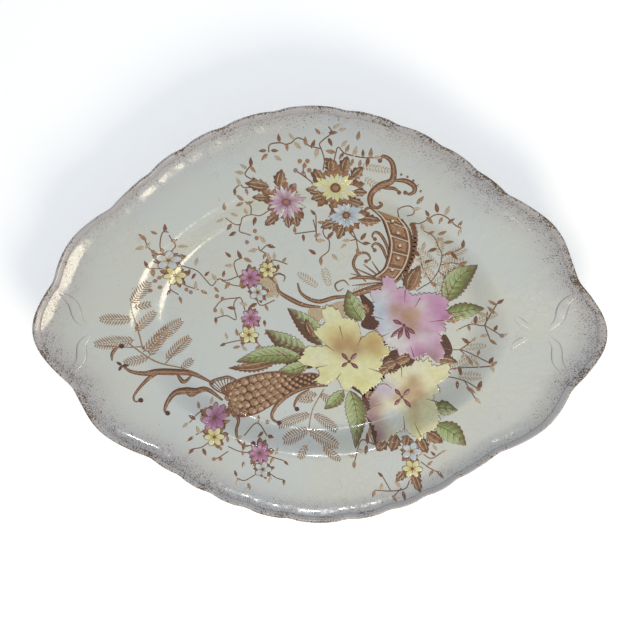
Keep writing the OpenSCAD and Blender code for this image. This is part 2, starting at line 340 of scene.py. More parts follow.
def spun(profile):
    """The closed profile turned once round the upright axis."""
    bm = bmesh.new()
    ring = [bm.verts.new((radius, 0, height)) for radius, height in profile]
    sides = [bm.edges.new(pair) for pair in zip(ring, ring[1:])]
    if profile[0][0] > 0:
        sides.append(bm.edges.new((ring[-1], ring[0])))
    bmesh.ops.spin(bm, geom=ring + sides, cent=(0, 0, 0), axis=(0, 0, 1), dvec=(0, 0, 0),
                   angle=2 * math.pi, steps=SPIN_STEPS, use_merge=True, use_duplicate=False)
    bmesh.ops.remove_doubles(bm, verts=bm.verts[:], dist=1e-5)
    mesh = bpy.data.meshes.new("spun")
    bm.to_mesh(mesh)
    bm.free()
    return mesh


def ware(name, profile, material, node):
    """A spun profile, warped onto the dish."""
    mesh = spun(profile)
    spots = corners(mesh)
    angle = np.arctan2(spots[:, 1], spots[:, 0])
    out, through = np.hypot(spots[:, 0], spots[:, 1]), spots[:, 2]
    share = np.clip(out - 1, 0, 1)
    radius = np.where(out < 1, out * well_r(angle), well_r(angle) + share * rim_width(angle))
    radius = radius + np.maximum(out - 2, 0) * NOSE
    height = face_z(angle, share) - (1 - through) * wall_t(share)
    placed = np.column_stack([radius * np.cos(angle), radius * np.sin(angle), height]) * MM
    mesh.vertices.foreach_set("co", placed.ravel())
    return settle(mesh, name, material, node)


def rings(start, stop, gap):
    """Evenly spaced distances from start to stop, both included."""
    return list(np.linspace(start, stop, max(2, round((stop - start) / gap) + 1)))

# %% [markdown]
# The body lies inside its coats, so its profile stops a skin short of the surface. The face coat
# turns over the lip and meets the back coat in the middle of its edge. The back coat stops at
# the foot, where the clay was wiped bare, and the recess inside the foot has its own coat.
# Rings are closer together on the curved side of the well, which would show facets otherwise.

# %% The clay body and its coats of glaze
SKIN = 0.07
across_face = rings(0, 0.9, 0.06) + rings(0.93, 1.36, 0.01) + rings(1.4, 1.75, 0.03) + rings(1.77, 2, 0.015)
nose_turn = np.linspace(0, math.pi / 2, 5)


def nose(outer, top):
    """The rounded edge from the crest down to its middle."""
    return [(2 + outer * math.sin(t), 0.5 + (top - 0.5) * math.cos(t)) for t in nose_turn[1:]]


def over_face(height):
    return [(out, height) for out in across_face]


under_lip = [(out, 1 - height) for out, height in nose(0.9, 1 - SKIN)][::-1][1:]
under_back = rings(0, 2, 0.05)[::-1]
body_profile = over_face(1 - SKIN) + nose(0.9, 1 - SKIN) + under_lip + [(out, SKIN) for out in under_back]
ware("clay_body", body_profile, BISCUIT, "biscuit_body")

face_profile = over_face(1) + nose(1, 1) + nose(0.9, 1 - SKIN)[::-1] + over_face(1 - SKIN)[::-1]
glazed_face = ware("glaze_on_face", face_profile, SPONGED_GLAZE, "face_glaze")

FOOT_EDGE = 0.985
back_outs = rings(FOOT_EDGE, 2, 0.035)
lower_nose = [(out, 1 - height) for out, height in nose(1, 1)]
inner_nose = [(out, 1 - height) for out, height in nose(0.9, 1 - SKIN)]
back_profile = [(out, 0) for out in back_outs] + lower_nose + inner_nose[::-1]
back_profile += [(out, SKIN) for out in back_outs[::-1]]
ware("glaze_on_back", back_profile, SPONGED_GLAZE, "back_glaze")

RECESS_EDGE = 0.9
recess_profile = [(out, 0) for out in rings(0, RECESS_EDGE, 0.1)]
recess_profile += [(out, SKIN) for out in rings(0, RECESS_EDGE, 0.1)[::-1]]
ware("glaze_in_recess", recess_profile, GLAZE, "recess_glaze")

# %% [markdown]
# The gold was brushed along the crest and has rubbed off in places, so the gold piece is a thin
# skin over the lip that is solid gold in some stretches and bare in others. The same numbers
# say how thick the sponging is, because both were done in one go round the dish.

# %% The gold lip and the sponged mist
GOLD_T = 0.035
HEAVY_AT = [(-152, 26, 0.9), (-2, 15, 0.9), (38, 26, 0.6), (178, 20, 0.5), (-100, 30, 0.4), (100, 30, 0.25)]


def gold_amount(angle):
    """How much gold was dabbed on, 0 to 1, round the dish; HEAVY_AT has degrees, reach, amount."""
    turn = np.degrees(angle)
    near = [a * bell((turn - at + 180) % 360 - 180, 0, reach) for at, reach, a in HEAVY_AT]
    return np.clip(0.35 + sum(near), 0, 1)


crest_outs = rings(1.955, 2, 0.015)
gold_profile = [(out, 1 + GOLD_T) for out in crest_outs] + nose(1.07, 1 + GOLD_T)
gold_profile += nose(1, 1)[::-1] + [(out, 1) for out in crest_outs[::-1]]
gold_lip = ware("gold_on_lip", gold_profile, GOLD, "gilt_lip")
gold_spots = corners(gold_lip.data) / MM
gold_angle = np.arctan2(gold_spots[:, 1], gold_spots[:, 0])
from_edge = lip_r(gold_angle) - np.hypot(gold_spots[:, 0], gold_spots[:, 1])
store(gold_lip.data, "kept", 0.24 + 0.2 * gold_amount(gold_angle) - 0.14 * ease(from_edge / 3))


def sponge(piece, strength):
    """Stores where the mist and the flecks lie, from the distance to the lip."""
    spots = corners(piece.data) / MM
    angle = np.arctan2(spots[:, 1], spots[:, 0])
    inward = lip_r(angle) - np.hypot(spots[:, 0], spots[:, 1])
    amount = gold_amount(angle)
    store(piece.data, "mist", strength * (0.2 + 0.42 * amount) * bell(inward, 0, 14 + 6 * amount))
    store(piece.data, "sponge", strength * (0.17 + 0.12 * amount) * bell(inward, 0, 14 + 7 * amount))


sponge(glazed_face, 1)
sponge(bpy.data.objects["glaze_on_back"], 0.7)

# %% [markdown]
# The foot is a ring of clay stuck under the well and wiped clean of glaze so that it doesn't
# fuse to the kiln shelf. It follows an ellipse, so its profile is spun as a circle and then
# stretched: the first number is how far out from the middle line of the foot the point lies.

# %% The foot ring
FOOT_A, FOOT_B = WELL_A - 6, WELL_B - 6
FOOT_TOP = FOOT_H + 0.3
foot_profile = [
    (-4.5, FOOT_TOP), (4.5, FOOT_TOP), (3.4, 3.2), (2.6, 1.2), (2.3, 0.4), (1.9, 0.05), (1.4, 0),
]
foot_profile += [(-1.4, 0), (-1.9, 0.05), (-2.3, 0.4), (-2.6, 1.2), (-3.4, 3.2)]
FAR_OUT = 50
foot = spun([(FAR_OUT + out, height) for out, height in foot_profile])
foot_spots = corners(foot)
foot_angle = np.arctan2(foot_spots[:, 1], foot_spots[:, 0])
foot_out = np.hypot(foot_spots[:, 0], foot_spots[:, 1]) - FAR_OUT
foot_spots[:, 0] = (FOOT_A + foot_out) * np.cos(foot_angle)
foot_spots[:, 1] = (FOOT_B + foot_out) * np.sin(foot_angle)
foot.vertices.foreach_set("co", (foot_spots * MM).ravel())
settle(foot, "foot", BISCUIT, "foot_ring")

# %% [markdown]
# ## Moulded scrolls on the lugs
#
# The mould has a bracket of two scrolls cut into each lug, so they stand up as soft ridges under
# the glaze. All drawn work, these ridges and the printed and painted lines alike, is made the
# same way: smooth lines through a few points, given a round section by a curve's bevel, made a
# mesh, pressed nearly flat, and then laid on the face with the height formula.

# %% Helpers that draw lines on the face
def flow(points, gap=1.2, closed=False):
    """A smooth line through the points, with a station every gap millimetres."""
    knots = np.array(points, dtype=float)
    if closed:
        knots = np.vstack([knots[-1], knots, knots[0], knots[1]])
    else:
        knots = np.vstack([2 * knots[0] - knots[1], knots, 2 * knots[-1] - knots[-2]])
    t = np.linspace(0, 1, 8, endpoint=False)[:, None]
    runs = []
    for p, q, r, s in zip(knots, knots[1:], knots[2:], knots[3:]):
        curved = (2 * p - 5 * q + 4 * r - s) * t**2 + (3 * q - p - 3 * r + s) * t**3
        runs.append(0.5 * (2 * q + (r - p) * t + curved))
    line = np.vstack(runs + [knots[-2][None]])
    along = np.concatenate([[0], np.cumsum(np.hypot(*np.diff(line, axis=0).T))])
    count = max(3, math.ceil(along[-1] / gap) + 1)
    even = np.linspace(0, along[-1], count)
    if closed:
        even = even[:-1]
    return np.column_stack([np.interp(even, along, line[:, 0]), np.interp(even, along, line[:, 1])])


def laid(mesh, lift, squash=1.0):
    """Presses the mesh by squash, lays it on the face lift millimetres up, and turns it to metres."""
    spots = corners(mesh)
    spots[:, 2] = face_over(spots[:, 0], spots[:, 1]) + lift + squash * spots[:, 2]
    mesh.vertices.foreach_set("co", (spots * MM).ravel())


TAPERS = {
    "both": lambda t: 0.35 + 0.65 * np.sin(math.pi * t),
    "whip": lambda t: 1 - 0.7 * t,
    "even": lambda t: np.ones_like(t),
}


def drawn(name, strokes, material, lift, node=None, squash=0.1):
    """One piece of many lines. A stroke is its width, its taper and its points."""
    pen = bpy.data.curves.new(name, "CURVE")
    pen.dimensions = "3D"
    pen.bevel_depth = 1
    pen.bevel_resolution = 1
    pen.use_fill_caps = True
    for width, taper, points in strokes:
        line = flow(points)
        spline = pen.splines.new("POLY")
        spline.points.add(len(line) - 1)
        thickness = TAPERS[taper](np.linspace(0, 1, len(line))) * width / 2
        for point, (x, y), radius in zip(spline.points, line, thickness):
            point.co = (x, y, 0, 1)
            point.radius = radius
    holder = bpy.data.objects.new(name, pen)
    mesh = bpy.data.meshes.new_from_object(holder)
    bpy.data.objects.remove(holder)
    laid(mesh, lift, squash)
    return settle(mesh, name, material, node)

# %% [markdown]
# Both lugs carry the same bracket and the same small leaf, so one loop mirrors them from east to
# west. The ridges are broad and very low, as a mould's detail is under a thick glaze.

# %% The lug scrolls
def mirrored(points, side, half):
    return [(x * side, y * half) for x, y in points]


BRACKET = [(178, 31), (171, 21), (169, 10), (163, 2.5)]
LUG_LEAF = [(138, 13), (143, 8), (151, 3)]
for side, end in ((1, "east"), (-1, "west")):
    ridges = [(9.0, "both", mirrored(BRACKET, side, half)) for half in (1, -1)]
    ridges += [(6.0, "both", mirrored(LUG_LEAF, side, half)) for half in (1, -1)]
    node = "lug_scroll_" + end
    scrolls = drawn("moulded_scrolls_" + end, ridges, SPONGED_GLAZE, -0.03, node, squash=0.035)
    sponge(scrolls, 1)

# %% [markdown]
# ## Brown print
#
# The outlines come from one engraved copper plate, printed in brown on tissue and rubbed onto
# the biscuit. Engraved tone isn't flat: it is darker where lines are deeper. So the print has
# five tones, from a deep brown to the pale rails, each with a little unevenness.

# %% Print finishes
def print_finish(name, thin, full):
    ink = Finish(name, Roughness=0.22, Coat_Weight=0.5, Coat_Roughness=0.05)
    ink.colour(ink.blend(ink.span(ink.noise(700, 2), 0.35, 0.65), shade(*thin), shade(*full)))
    return ink.material


LINE_BROWN = print_finish("brown print line", (132, 90, 60), (104, 64, 38))
DEEP_BROWN = print_finish("deep brown print", (92, 54, 32), (66, 36, 18))
MID_BROWN = print_finish("brown print", (164, 130, 98), (136, 98, 66))
TAN = print_finish("tan print", (184, 168, 142), (164, 142, 112))
RAIL = print_finish("pale rails", (204, 194, 172), (192, 178, 152))

# %% [markdown]
# Filled shapes start as one face through an outline, are cut by a grid of planes so that they
# can bend with the dish, and are extruded to a thin film. The grid is fine, since the side of
# the well is tightly curved. Each film keeps a colour for every point, which lets one helper
# make flat print, shaded leaves and petals.

# %% A helper that makes filled films
GRID = 1.3
FILM_T = 0.05


class Films:
    """Collects thin coloured shapes, then lays them on the face as one piece."""

    def __init__(self):
        self.bm = bmesh.new()
        self.paints = []

    def sliced(self, outline):
        bm = bmesh.new()
        face = bm.faces.new([bm.verts.new((x, y, 0)) for x, y in outline])
        face.normal_update()
        bmesh.ops.triangulate(bm, faces=[face])
        low, high = np.min(outline, axis=0), np.max(outline, axis=0)
        for axis, across in ((0, (1, 0, 0)), (1, (0, 1, 0))):
            for cut in np.arange(low[axis] + GRID * 0.6, high[axis], GRID):
                spot = Vector((0, 0, 0))
                spot[axis] = cut
                whole = bm.verts[:] + bm.edges[:] + bm.faces[:]
                bmesh.ops.bisect_plane(bm, geom=whole, dist=1e-4, plane_co=spot, plane_no=across)
        return bm

    def add(self, outline, paint, lift=0.0):
        """paint is a colour, or a function of x and y that gives a row of colours."""
        outline = np.asarray(outline)
        bm = self.sliced(outline)
        raised = bmesh.ops.extrude_face_region(bm, geom=bm.faces[:])["geom"]
        top = [part for part in raised if isinstance(part, bmesh.types.BMVert)]
        bmesh.ops.translate(bm, verts=top, vec=(0, 0, FILM_T))
        bmesh.ops.translate(bm, verts=bm.verts[:], vec=(0, 0, lift))
        mesh = bpy.data.meshes.new("film")
        bm.to_mesh(mesh)
        bm.free()
        self.keep(mesh, paint)

    def keep(self, mesh, paint):
        spots = corners(mesh)
        colours = np.empty((len(spots), 4))
        colours[:] = paint(spots[:, 0], spots[:, 1]) if callable(paint) else paint
        self.paints.append(colours)
        self.bm.from_mesh(mesh)
        bpy.data.meshes.remove(mesh)

    def finish(self, name, material, lift, node=None, slot="brown_print"):
        mesh = bpy.data.meshes.new(name)
        self.bm.to_mesh(mesh)
        self.bm.free()
        if material is ENAMEL:
            kept = mesh.attributes.new("paint", "FLOAT_COLOR", "POINT")
            kept.data.foreach_set("color", np.vstack(self.paints).astype(np.float32).ravel())
        laid(mesh, lift)
        return settle(mesh, name, material, node)

# %% [markdown]
# Leaflets, stamens and scales are all one of two outlines, a pointed leaf or a disc. Both have
# few points, because they are used hundreds of times.

# %% Small shapes: pointed leaves, drops and berries
def sliver(base, tip, width, fullest=0.5):
    """The outline of a pointed leaf from base to tip, widest at fullest of its length."""
    base, tip = np.array(base, float), np.array(tip, float)
    along = tip - base
    side = np.array([-along[1], along[0]]) / np.hypot(*along)
    power = math.log(0.5) / math.log(fullest)
    t = np.linspace(0, 1, 8)
    half = width / 2 * np.sin(math.pi * t**power)
    right = [base + along * u - side * h for u, h in zip(t, half)]
    left = [base + along * u + side * h for u, h in zip(t[-2:0:-1], half[-2:0:-1])]
    return right + left


def disc(middle, radius, points=10):
    turn = np.linspace(0, 2 * math.pi, points, endpoint=False)
    return np.array(middle) + radius * np.column_stack([np.cos(turn), np.sin(turn)])


def nearest(spot, lines):
    """The station nearest to the spot on any of the lines."""
    stations = np.vstack([flow(line) for line in lines])
    return stations[np.argmin(np.hypot(*(stations - np.array(spot)).T))]


# Stands for the colour of a film whose finish already has one, as all plain print does
PLAIN = (0.2, 0.1, 0.05, 1)
# How high each layer of decoration lies over the face, in millimetres
WASH_LIFT, PRINT_LIFT, LEAF_LIFT, BLOOM_LIFT, OUTLINE_LIFT = 0.03, 0.09, 0.17, 0.32, 0.42
# Stands in until the enamel finish is made, since Films asks whether a film has it.
ENAMEL = None


def cored(name, strokes, share):
    """The same strokes again, share as wide and paler: the light middle of a printed line."""
    cores = [(width * share, taper, points) for width, taper, points in strokes]
    drawn(name, cores, MID_BROWN, PRINT_LIFT + 0.1, squash=0.06)


print("layers of decoration lie", WASH_LIFT, "to", OUTLINE_LIFT, "mm over the face")

# %% [markdown]
# ### The branch and its curls
#
# A branch grows west out of the horn, with hooks and buds. The thick lines are the same engraved
# curves that a pen would draw, thin at both ends, and each hook ends in a round knob.
#
# A warning about the lists of points from here on: about half of their points, and most of the
# large outlines, came out of a scratch script that turned marks into rounded millimetres. That
# is not an example to follow. A few chosen points, or a formula, would say more with less.

# %% Branch scrolls
BRANCH = [(-79, -49), (-92, -42), (-106, -38), (-119, -34), (-127, -34), (-136, -32), (-142, -27)]
BRANCH_HOOK = [(-149, -23), (-148.5, -18), (-145, -13.5), (-141, -12)]
BRANCH_A = [(-119, -35), (-124, -38), (-131, -45), (-136, -52), (-135, -56), (-131, -55)]
BRANCH_B = [
    (-73, -63), (-84, -54), (-93, -54), (-100, -52), (-107, -52), (-112, -58), (-114, -64), (-112, -66),
]
NOTCH_A = [(-106, -39), (-101, -46), (-95, -42)]
NOTCH_B = [(-100, -53), (-95, -56), (-90, -55)]
STEM_BELOW = [(-67, -68), (-61, -77), (-62, -83), (-60, -90), (-55, -94), (-49, -93)]
C_SCROLL_1 = [(8, -50), (-6, -51), (-19, -56), (-29, -64), (-35, -73), (-35, -79), (-30, -82)]
C_SCROLL_2 = [(-6, -53), (-14, -59), (-18, -67), (-16, -70)]
HOOK_ENDS = [BRANCH_HOOK, BRANCH_A, BRANCH_B, STEM_BELOW, C_SCROLL_1, C_SCROLL_2]

branches = [(4.4, "both", BRANCH), (2.6, "both", BRANCH_HOOK), (3.2, "whip", BRANCH_A)]
branches += [(4.4, "both", BRANCH_B), (2.6, "both", NOTCH_A), (2.2, "both", NOTCH_B)]
branches += [(3.0, "whip", STEM_BELOW), (3.8, "both", C_SCROLL_1), (2.4, "both", C_SCROLL_2)]
drawn("branch_scrolls", branches, LINE_BROWN, PRINT_LIFT, "print_branch_scrolls", 0.05)
cored("branch_light_cores", branches, 0.34)

knobs = Films()
for hook in HOOK_ENDS:
    knobs.add(disc(hook[-1], 1.9), PLAIN)
for end in ((-146, -24), (-145, -31), (-137, -27)):
    knobs.add(sliver(BRANCH[-1], end, 2.2), PLAIN)
knobs.finish("branch_knobs", DEEP_BROWN, PRINT_LIFT + 0.1)

# %% [markdown]
# ### The fern fronds
#
# Each frond is a rib with two rows of narrow leaflets that grow shorter to the tip. A loop sets
# a pair of leaflets every few millimetres, since all fronds are built by the same rule.

# %% Fern fronds
FERN_STEMS = [
    [(-127, -16), (-131, 11), (-131, 20)], [(-158, -11), (-127, -14)], [(-96, -12), (-113, -30)],
    [(-136, -10), (-116, -29), (-90, -41)], [(5, -53), (-3, -68), (-6, -79), (-7, -87)],
]
FRONDS = [
    ((-131, 20), (-118, 35), 7), ((-130, 17), (-119, 17), 5), ((-132, 8), (-153, 9), 7),
    ((-132, -8), (-159, -10), 8), ((-131, -2), (-118, 10), 6), ((-127, -18), (-100, 2), 8),
    ((-113, -27), (-94, -11), 7), ((-123, -22), (-112, -4), 7), ((-123, -22), (-140, -25), 6),
    ((-103, -37), (-94, -29), 5), ((-6, -74), (-31, -84), 7), ((-3, -74), (14, -87), 7),
    ((-7, -87), (-26, -93), 7), ((-7, -88), (15, -96), 7), ((-3, -63), (-16, -61), 5),
    ((-8, -96), (-14, -104), 5), ((4, -97), (17, -105), 5), ((2, -57), (14, -66), 6),
    ((0, -58), (-10, -57), 5),
]


def leaflets(frond):
    """Base and tip of each leaflet of one frond, and its width."""
    base, tip, reach = np.array(frond[0], float), np.array(frond[1], float), frond[2]
    along = tip - base
    length = np.hypot(*along)
    ahead, side = along / length, np.array([-along[1], along[0]]) / length
    for step in np.arange(1.0, length, 2.0):
        size = reach * 0.85 * math.sin(math.pi * (0.16 + 0.76 * step / length)) ** 0.7
        root = base + ahead * step
        for way in (-1, 1):
            yield root, root + (side * way * 0.8 + ahead * 0.6) * size, 1.0


ferns = Films()
for frond in FRONDS:
    for root, end, width in leaflets(frond):
        ferns.add(sliver(root, end, width), PLAIN)
ferns.finish("fern_leaflets", MID_BROWN, PRINT_LIFT, "print_ferns", "brown_print")
PALE_FRONDS = [
    ((84, 30), (106, 43), 7), ((87, 38), (104, 50), 7), ((88, 46), (103, 60), 6), ((87, 42), (72, 55), 6),
    ((85, 34), (73, 46), 6), ((88, 50), (86, 66), 5), ((84, 31), (92, 22), 5), ((2, 28), (-12, 38), 5),
    ((10, 28), (6, 42), 5), ((26, 24), (44, 30), 5), ((112, 0), (128, 12), 4), ((106, -20), (122, -14), 4),
    ((104, -40), (120, -36), 5), ((100, -36), (116, -24), 5), ((30, 116), (52, 112), 4),
    ((34, 108), (46, 99), 4),
]
pale = Films()
for frond in PALE_FRONDS:
    for root, end, width in leaflets(frond):
        pale.add(sliver(root, end, width), PLAIN)
pale.finish("pale_fern_leaflets", TAN, PRINT_LIFT - 0.03)
ribs = [(0.55, "whip", [a, b]) for a, b, _ in FRONDS] + [(0.8, "even", stem) for stem in FERN_STEMS]
drawn("fern_ribs", ribs, MID_BROWN, PRINT_LIFT + 0.05)

# %% [markdown]
# ### The horn basket
#
# The horn is woven of round scales that overlap like tiles, lighter than the gaps. A dark film
# is laid first, and scales with a dark rim and a pale glint are set on it in staggered rows.
# Each row lies a little higher than the one before, as tiles do.

# %% The horn basket
BASKET_TOP = [(-72, -52), (-61, -46), (-49, -42), (-32, -39), (-15, -41), (-3, -40), (6, -44)]
BASKET_BOTTOM = [(-66, -70), (-62, -75), (-50, -75), (-36, -67), (-21, -56), (-8, -50), (6, -47)]
SHELL_HUB = (-69, -59)
SHELL_RIM = [(-81, -49), (-79, -46), (-73, -44), (-67, -43), (-60, -47)]

ground = Films()
ground.add(np.vstack([flow(BASKET_TOP), flow(BASKET_BOTTOM)[::-1]]), PLAIN)
ground.finish("basket_ground", DEEP_BROWN, PRINT_LIFT, "print_horn_basket", "brown_print")

SCALE_COLUMNS, SCALE_ROWS = 13, 5
LARGEST_SCALE, SCALE_OVERLAP, NARROWEST = 3.5, 0.68, 6
ROW_LIFT, COLUMN_LIFT = 0.026, 0.006
rims, scales, glints = Films(), Films(), Films()
top_edge, bottom_edge = flow(BASKET_TOP, 1), flow(BASKET_BOTTOM, 1)
for column in range(SCALE_COLUMNS):
    for row in range(SCALE_ROWS):
        u = (column + 0.5 * (row % 2)) / SCALE_COLUMNS
        v = (row + 0.5) / SCALE_ROWS
        above = top_edge[int(u * (len(top_edge) - 1))]
        below = bottom_edge[int(u * (len(bottom_edge) - 1))]
        depth = np.hypot(*(above - below))
        if depth > NARROWEST:
            size = min(LARGEST_SCALE, depth / SCALE_ROWS * SCALE_OVERLAP)
            spot = above * (1 - v) + below * v
            over = ROW_LIFT * row + COLUMN_LIFT * (column % 2)
            rims.add(disc(spot, size, 12), PLAIN, over)
            scales.add(disc(spot, size * 0.84, 12), PLAIN, over + 0.009)
            low, high = spot + (size * 0.05, -size * 0.6), spot + (size * 0.6, size * 0.4)
            glints.add(sliver(low, high, size * 0.75), PLAIN, over + 0.018)
rims.finish("basket_rims", LINE_BROWN, PRINT_LIFT + 0.03)
scales.finish("basket_scales", MID_BROWN, PRINT_LIFT + 0.03)
glints.finish("basket_glints", TAN, PRINT_LIFT + 0.03)

rays = [(0.8, "whip", [spot, SHELL_HUB]) for spot in flow(SHELL_RIM, 3.2)]
rays += [(1.3, "even", [SHELL_HUB, (-78, -54), (-82, -49)] + SHELL_RIM[1:] + [(-59, -49)])]
rays += [(0.6, "even", [(x * 0.9 - 6.9, y * 0.9 - 5.9) for x, y in SHELL_RIM])]
rays += [(1.1, "even", BASKET_TOP), (1.2, "even", BASKET_BOTTOM)]
rays += [(1.0, "even", [BASKET_BOTTOM[0], SHELL_HUB, BASKET_TOP[0]])]
drawn("basket_edges", rays, LINE_BROWN, PRINT_LIFT + 0.18)

# %% [markdown]
# ### The coffered band and its crown
#
# The tall scroll on the east side is a band of sunk panels between two pale rails, with a stud
# in every panel and a frill of beads outside. It is built in layers from the ground up.

# %% The coffered band
BAND_WEST = [(38, 86), (46, 78), (50, 68), (52, 60), (51, 50), (48, 41), (41, 36)]
BAND_EAST = [(60, 78), (66, 69), (68, 59), (67, 50), (64, 42), (58, 33)]
STUDS = [(54, 76), (58, 67.5), (59.5, 58.5), (58.5, 49.5), (54.5, 41)]
BEADS = [(69, 74), (71, 68), (71.5, 62), (71, 56), (70, 50), (68, 45), (65, 39)]
INNER_CURLS = [
    [(52, 50), (50, 59), (46, 66), (42, 68), (40, 65), (42, 63)],
    [(52, 44), (50, 50), (47, 57), (43, 60), (40, 58), (42, 55)],
    [(36, 32), (29, 40), (27, 46), (30, 52), (36, 53), (39, 49), (36, 47)],
    [(44, 82), (39, 86), (35, 84), (37, 81)],
]
CROWN = [
    (44, 91), (46, 89), (43, 86), (39, 88), (38, 94), (40, 99), (45, 103), (52, 106), (53, 113), (51, 119),
    (46, 122), (44, 119),
]
CROWN_ARM = [(52, 106), (60, 106), (66, 103), (67, 99), (64, 97), (61, 98)]
CROWN_LOW = [(45, 101), (52, 101), (55, 100), (57, 98)]
CROWN_BEADS = [(54, 110), (58, 110), (62, 108.5), (66, 106), (69, 103), (71, 99)]


def between(first, second, share):
    return first * (1 - share) + second * share


west_edge, east_edge = flow(BAND_WEST, 1), flow(BAND_EAST, 1)
STATIONS = 40
west_edge = west_edge[np.linspace(0, len(west_edge) - 1, STATIONS).astype(int)]
east_edge = east_edge[np.linspace(0, len(east_edge) - 1, STATIONS).astype(int)]
band = Films()
band.add(np.vstack([west_edge, east_edge[::-1]]), PLAIN)
band.finish("coffer_ground", LINE_BROWN, PRINT_LIFT, "print_coffered_scroll", "brown_print")

panels = Films()
for number in range(len(STUDS)):
    first, last = round((number + 0.16) * STATIONS / 5), round((number + 0.86) * STATIONS / 5)
    inner = between(west_edge, east_edge, 0.24)[first:last]
    outer = between(west_edge, east_edge, 0.76)[first:last]
    panels.add(np.vstack([inner, outer[::-1]]), PLAIN)
panels.finish("coffer_panels", MID_BROWN, PRINT_LIFT + 0.06)
studs = Films()
for spot in STUDS:
    studs.add(disc(spot, 1.1), PLAIN)
studs.finish("coffer_studs", RAIL, PRINT_LIFT + 0.12)
rails = [(1.1, "even", between(west_edge, east_edge, share)[::3]) for share in (0.12, 0.88)]
for station in range(0, STATIONS, 8):
    bar = [between(west_edge, east_edge, share)[station] for share in (0.12, 0.5, 0.88)]
    rails.append((0.8, "even", bar))
drawn("coffer_rails", rails, RAIL, PRINT_LIFT + 0.06)
dark = [(0.8, "even", edge[::3]) for edge in (west_edge, east_edge)]
dark += [(0.9, "both", [(x - 1.9, y + 0.3), (x - 0.6, y - 1.7), (x + 1.6, y - 1.4)]) for x, y in STUDS]
drawn("coffer_edges", dark, DEEP_BROWN, PRINT_LIFT + 0.12)

curls = [(2.2, "both", curl) for curl in INNER_CURLS]
curls += [(4.4, "both", CROWN), (3.4, "both", CROWN_ARM), (2.4, "both", CROWN_LOW)]
drawn("crown_scrolls", curls, LINE_BROWN, PRINT_LIFT, squash=0.06)
cored("crown_cores", curls, 0.36)
frill = Films()
for spot in flow(BEADS, 3.3):
    frill.add(disc(spot - (1.6, 0), 2.1), PLAIN)
for spot in CROWN_BEADS:
    frill.add(disc(spot, 0.8), PLAIN)
for spot in [CROWN[-1], CROWN_ARM[-1], CROWN_LOW[-1]] + [curl[-1] for curl in INNER_CURLS]:
    frill.add(disc(spot, 1.4), PLAIN)
frill.finish("coffer_beads", LINE_BROWN, PRINT_LIFT + 0.05)

# %% [markdown]
# A long scroll ties the coffered band to the west side, with a fan of fine lines where it leaves
# the band. Behind it the engraver laid a flat tan tone, which is a film under all other print.

# %% The large scroll over the blooms, with its tan tone
BIG_SCROLL = [(-28, 30), (-26, 24), (-17, 18), (-8, 14), (3, 13)]
BIG_INNER = [(-13, 31), (-11, 24), (-5, 19), (3, 17), (13, 20), (22, 21), (31, 24)]
NECK = [(62, 36), (54, 31), (44, 28), (32, 24), (20, 20)]
FAN = [(45, 33), (38, 35), (30, 35), (24, 34)]
big = [(3.6, "both", BIG_SCROLL), (3.2, "both", BIG_INNER), (2.6, "both", FAN), (5.0, "both", NECK)]
big += [(1.4, "both", [(-28, 30), (-31, 34), (-27, 38), (-22, 36), (-23, 32)])]
big += [(1.2, "both", [(50, 32), tip]) for tip in ((25, 38), (28, 42), (34, 45), (40, 47), (26, 29))]
big += [(1.3, "both", [(24, 29), (20, 33), (14, 30), (16, 25), (20, 27)])]
drawn("large_scroll", big, LINE_BROWN, PRINT_LIFT, squash=0.06)
cored("large_scroll_cores", big, 0.34)
tone = Films()
tone.add(flow([(27, 6), (20, 17), (11, 15), (3, 13), (-4, 13), (-6, 6), (0, -2), (8, 6)], closed=True), PLAIN)
tone.add(flow([(-43, 39), (-30, 36), (-27, 24), (-36, 20), (-47, 27)], closed=True), PLAIN)
tone.finish("tan_tone", TAN, WASH_LIFT)

# %% [markdown]
# Where the blooms crowd together the engraver cut the ground almost solid. These dark patches
# lie under the flowers, so that only their edges show between the petals.

# %% The dark ground between the blooms
shadows = Films()
SHADOWS = [
    [(46, -38), (50, -27), (56, -21), (63, -21), (72, -25), (74, -31), (62, -36), (52, -42)],
    [(34, -55), (42, -50), (48, -54), (44, -66), (42, -76), (50, -92), (46, -97), (40, -84), (35, -68)],
    [(33, -2), (44, -4), (46, 10), (40, 17), (31, 24), (35, 10)],
    [(-6, -14), (4, -12), (2, -4), (-6, 4), (-10, -4)],
    [(-14, -24), (-2, -20), (-2, -34), (-12, -36), (-24, -32)],
    [(24, -50), (36, -54), (42, -52), (40, -62), (34, -58)],
    [(88, -26), (96, -28), (100, -20), (94, -8), (90, -14)],
]
for patch in SHADOWS:
    shadows.add(flow(patch, closed=True), PLAIN)
shadows.finish("bloom_shadows", DEEP_BROWN, WASH_LIFT + 0.03)

# %% [markdown]
# ### Sprays, twigs and berries
#
# Between the large flowers the engraver filled the ground with thin twigs, small pointed leaves
# and round berries. The twigs are lists of points; each leaf grows from the nearest twig, so it
# needs only the place of its middle, and the direction follows by itself.

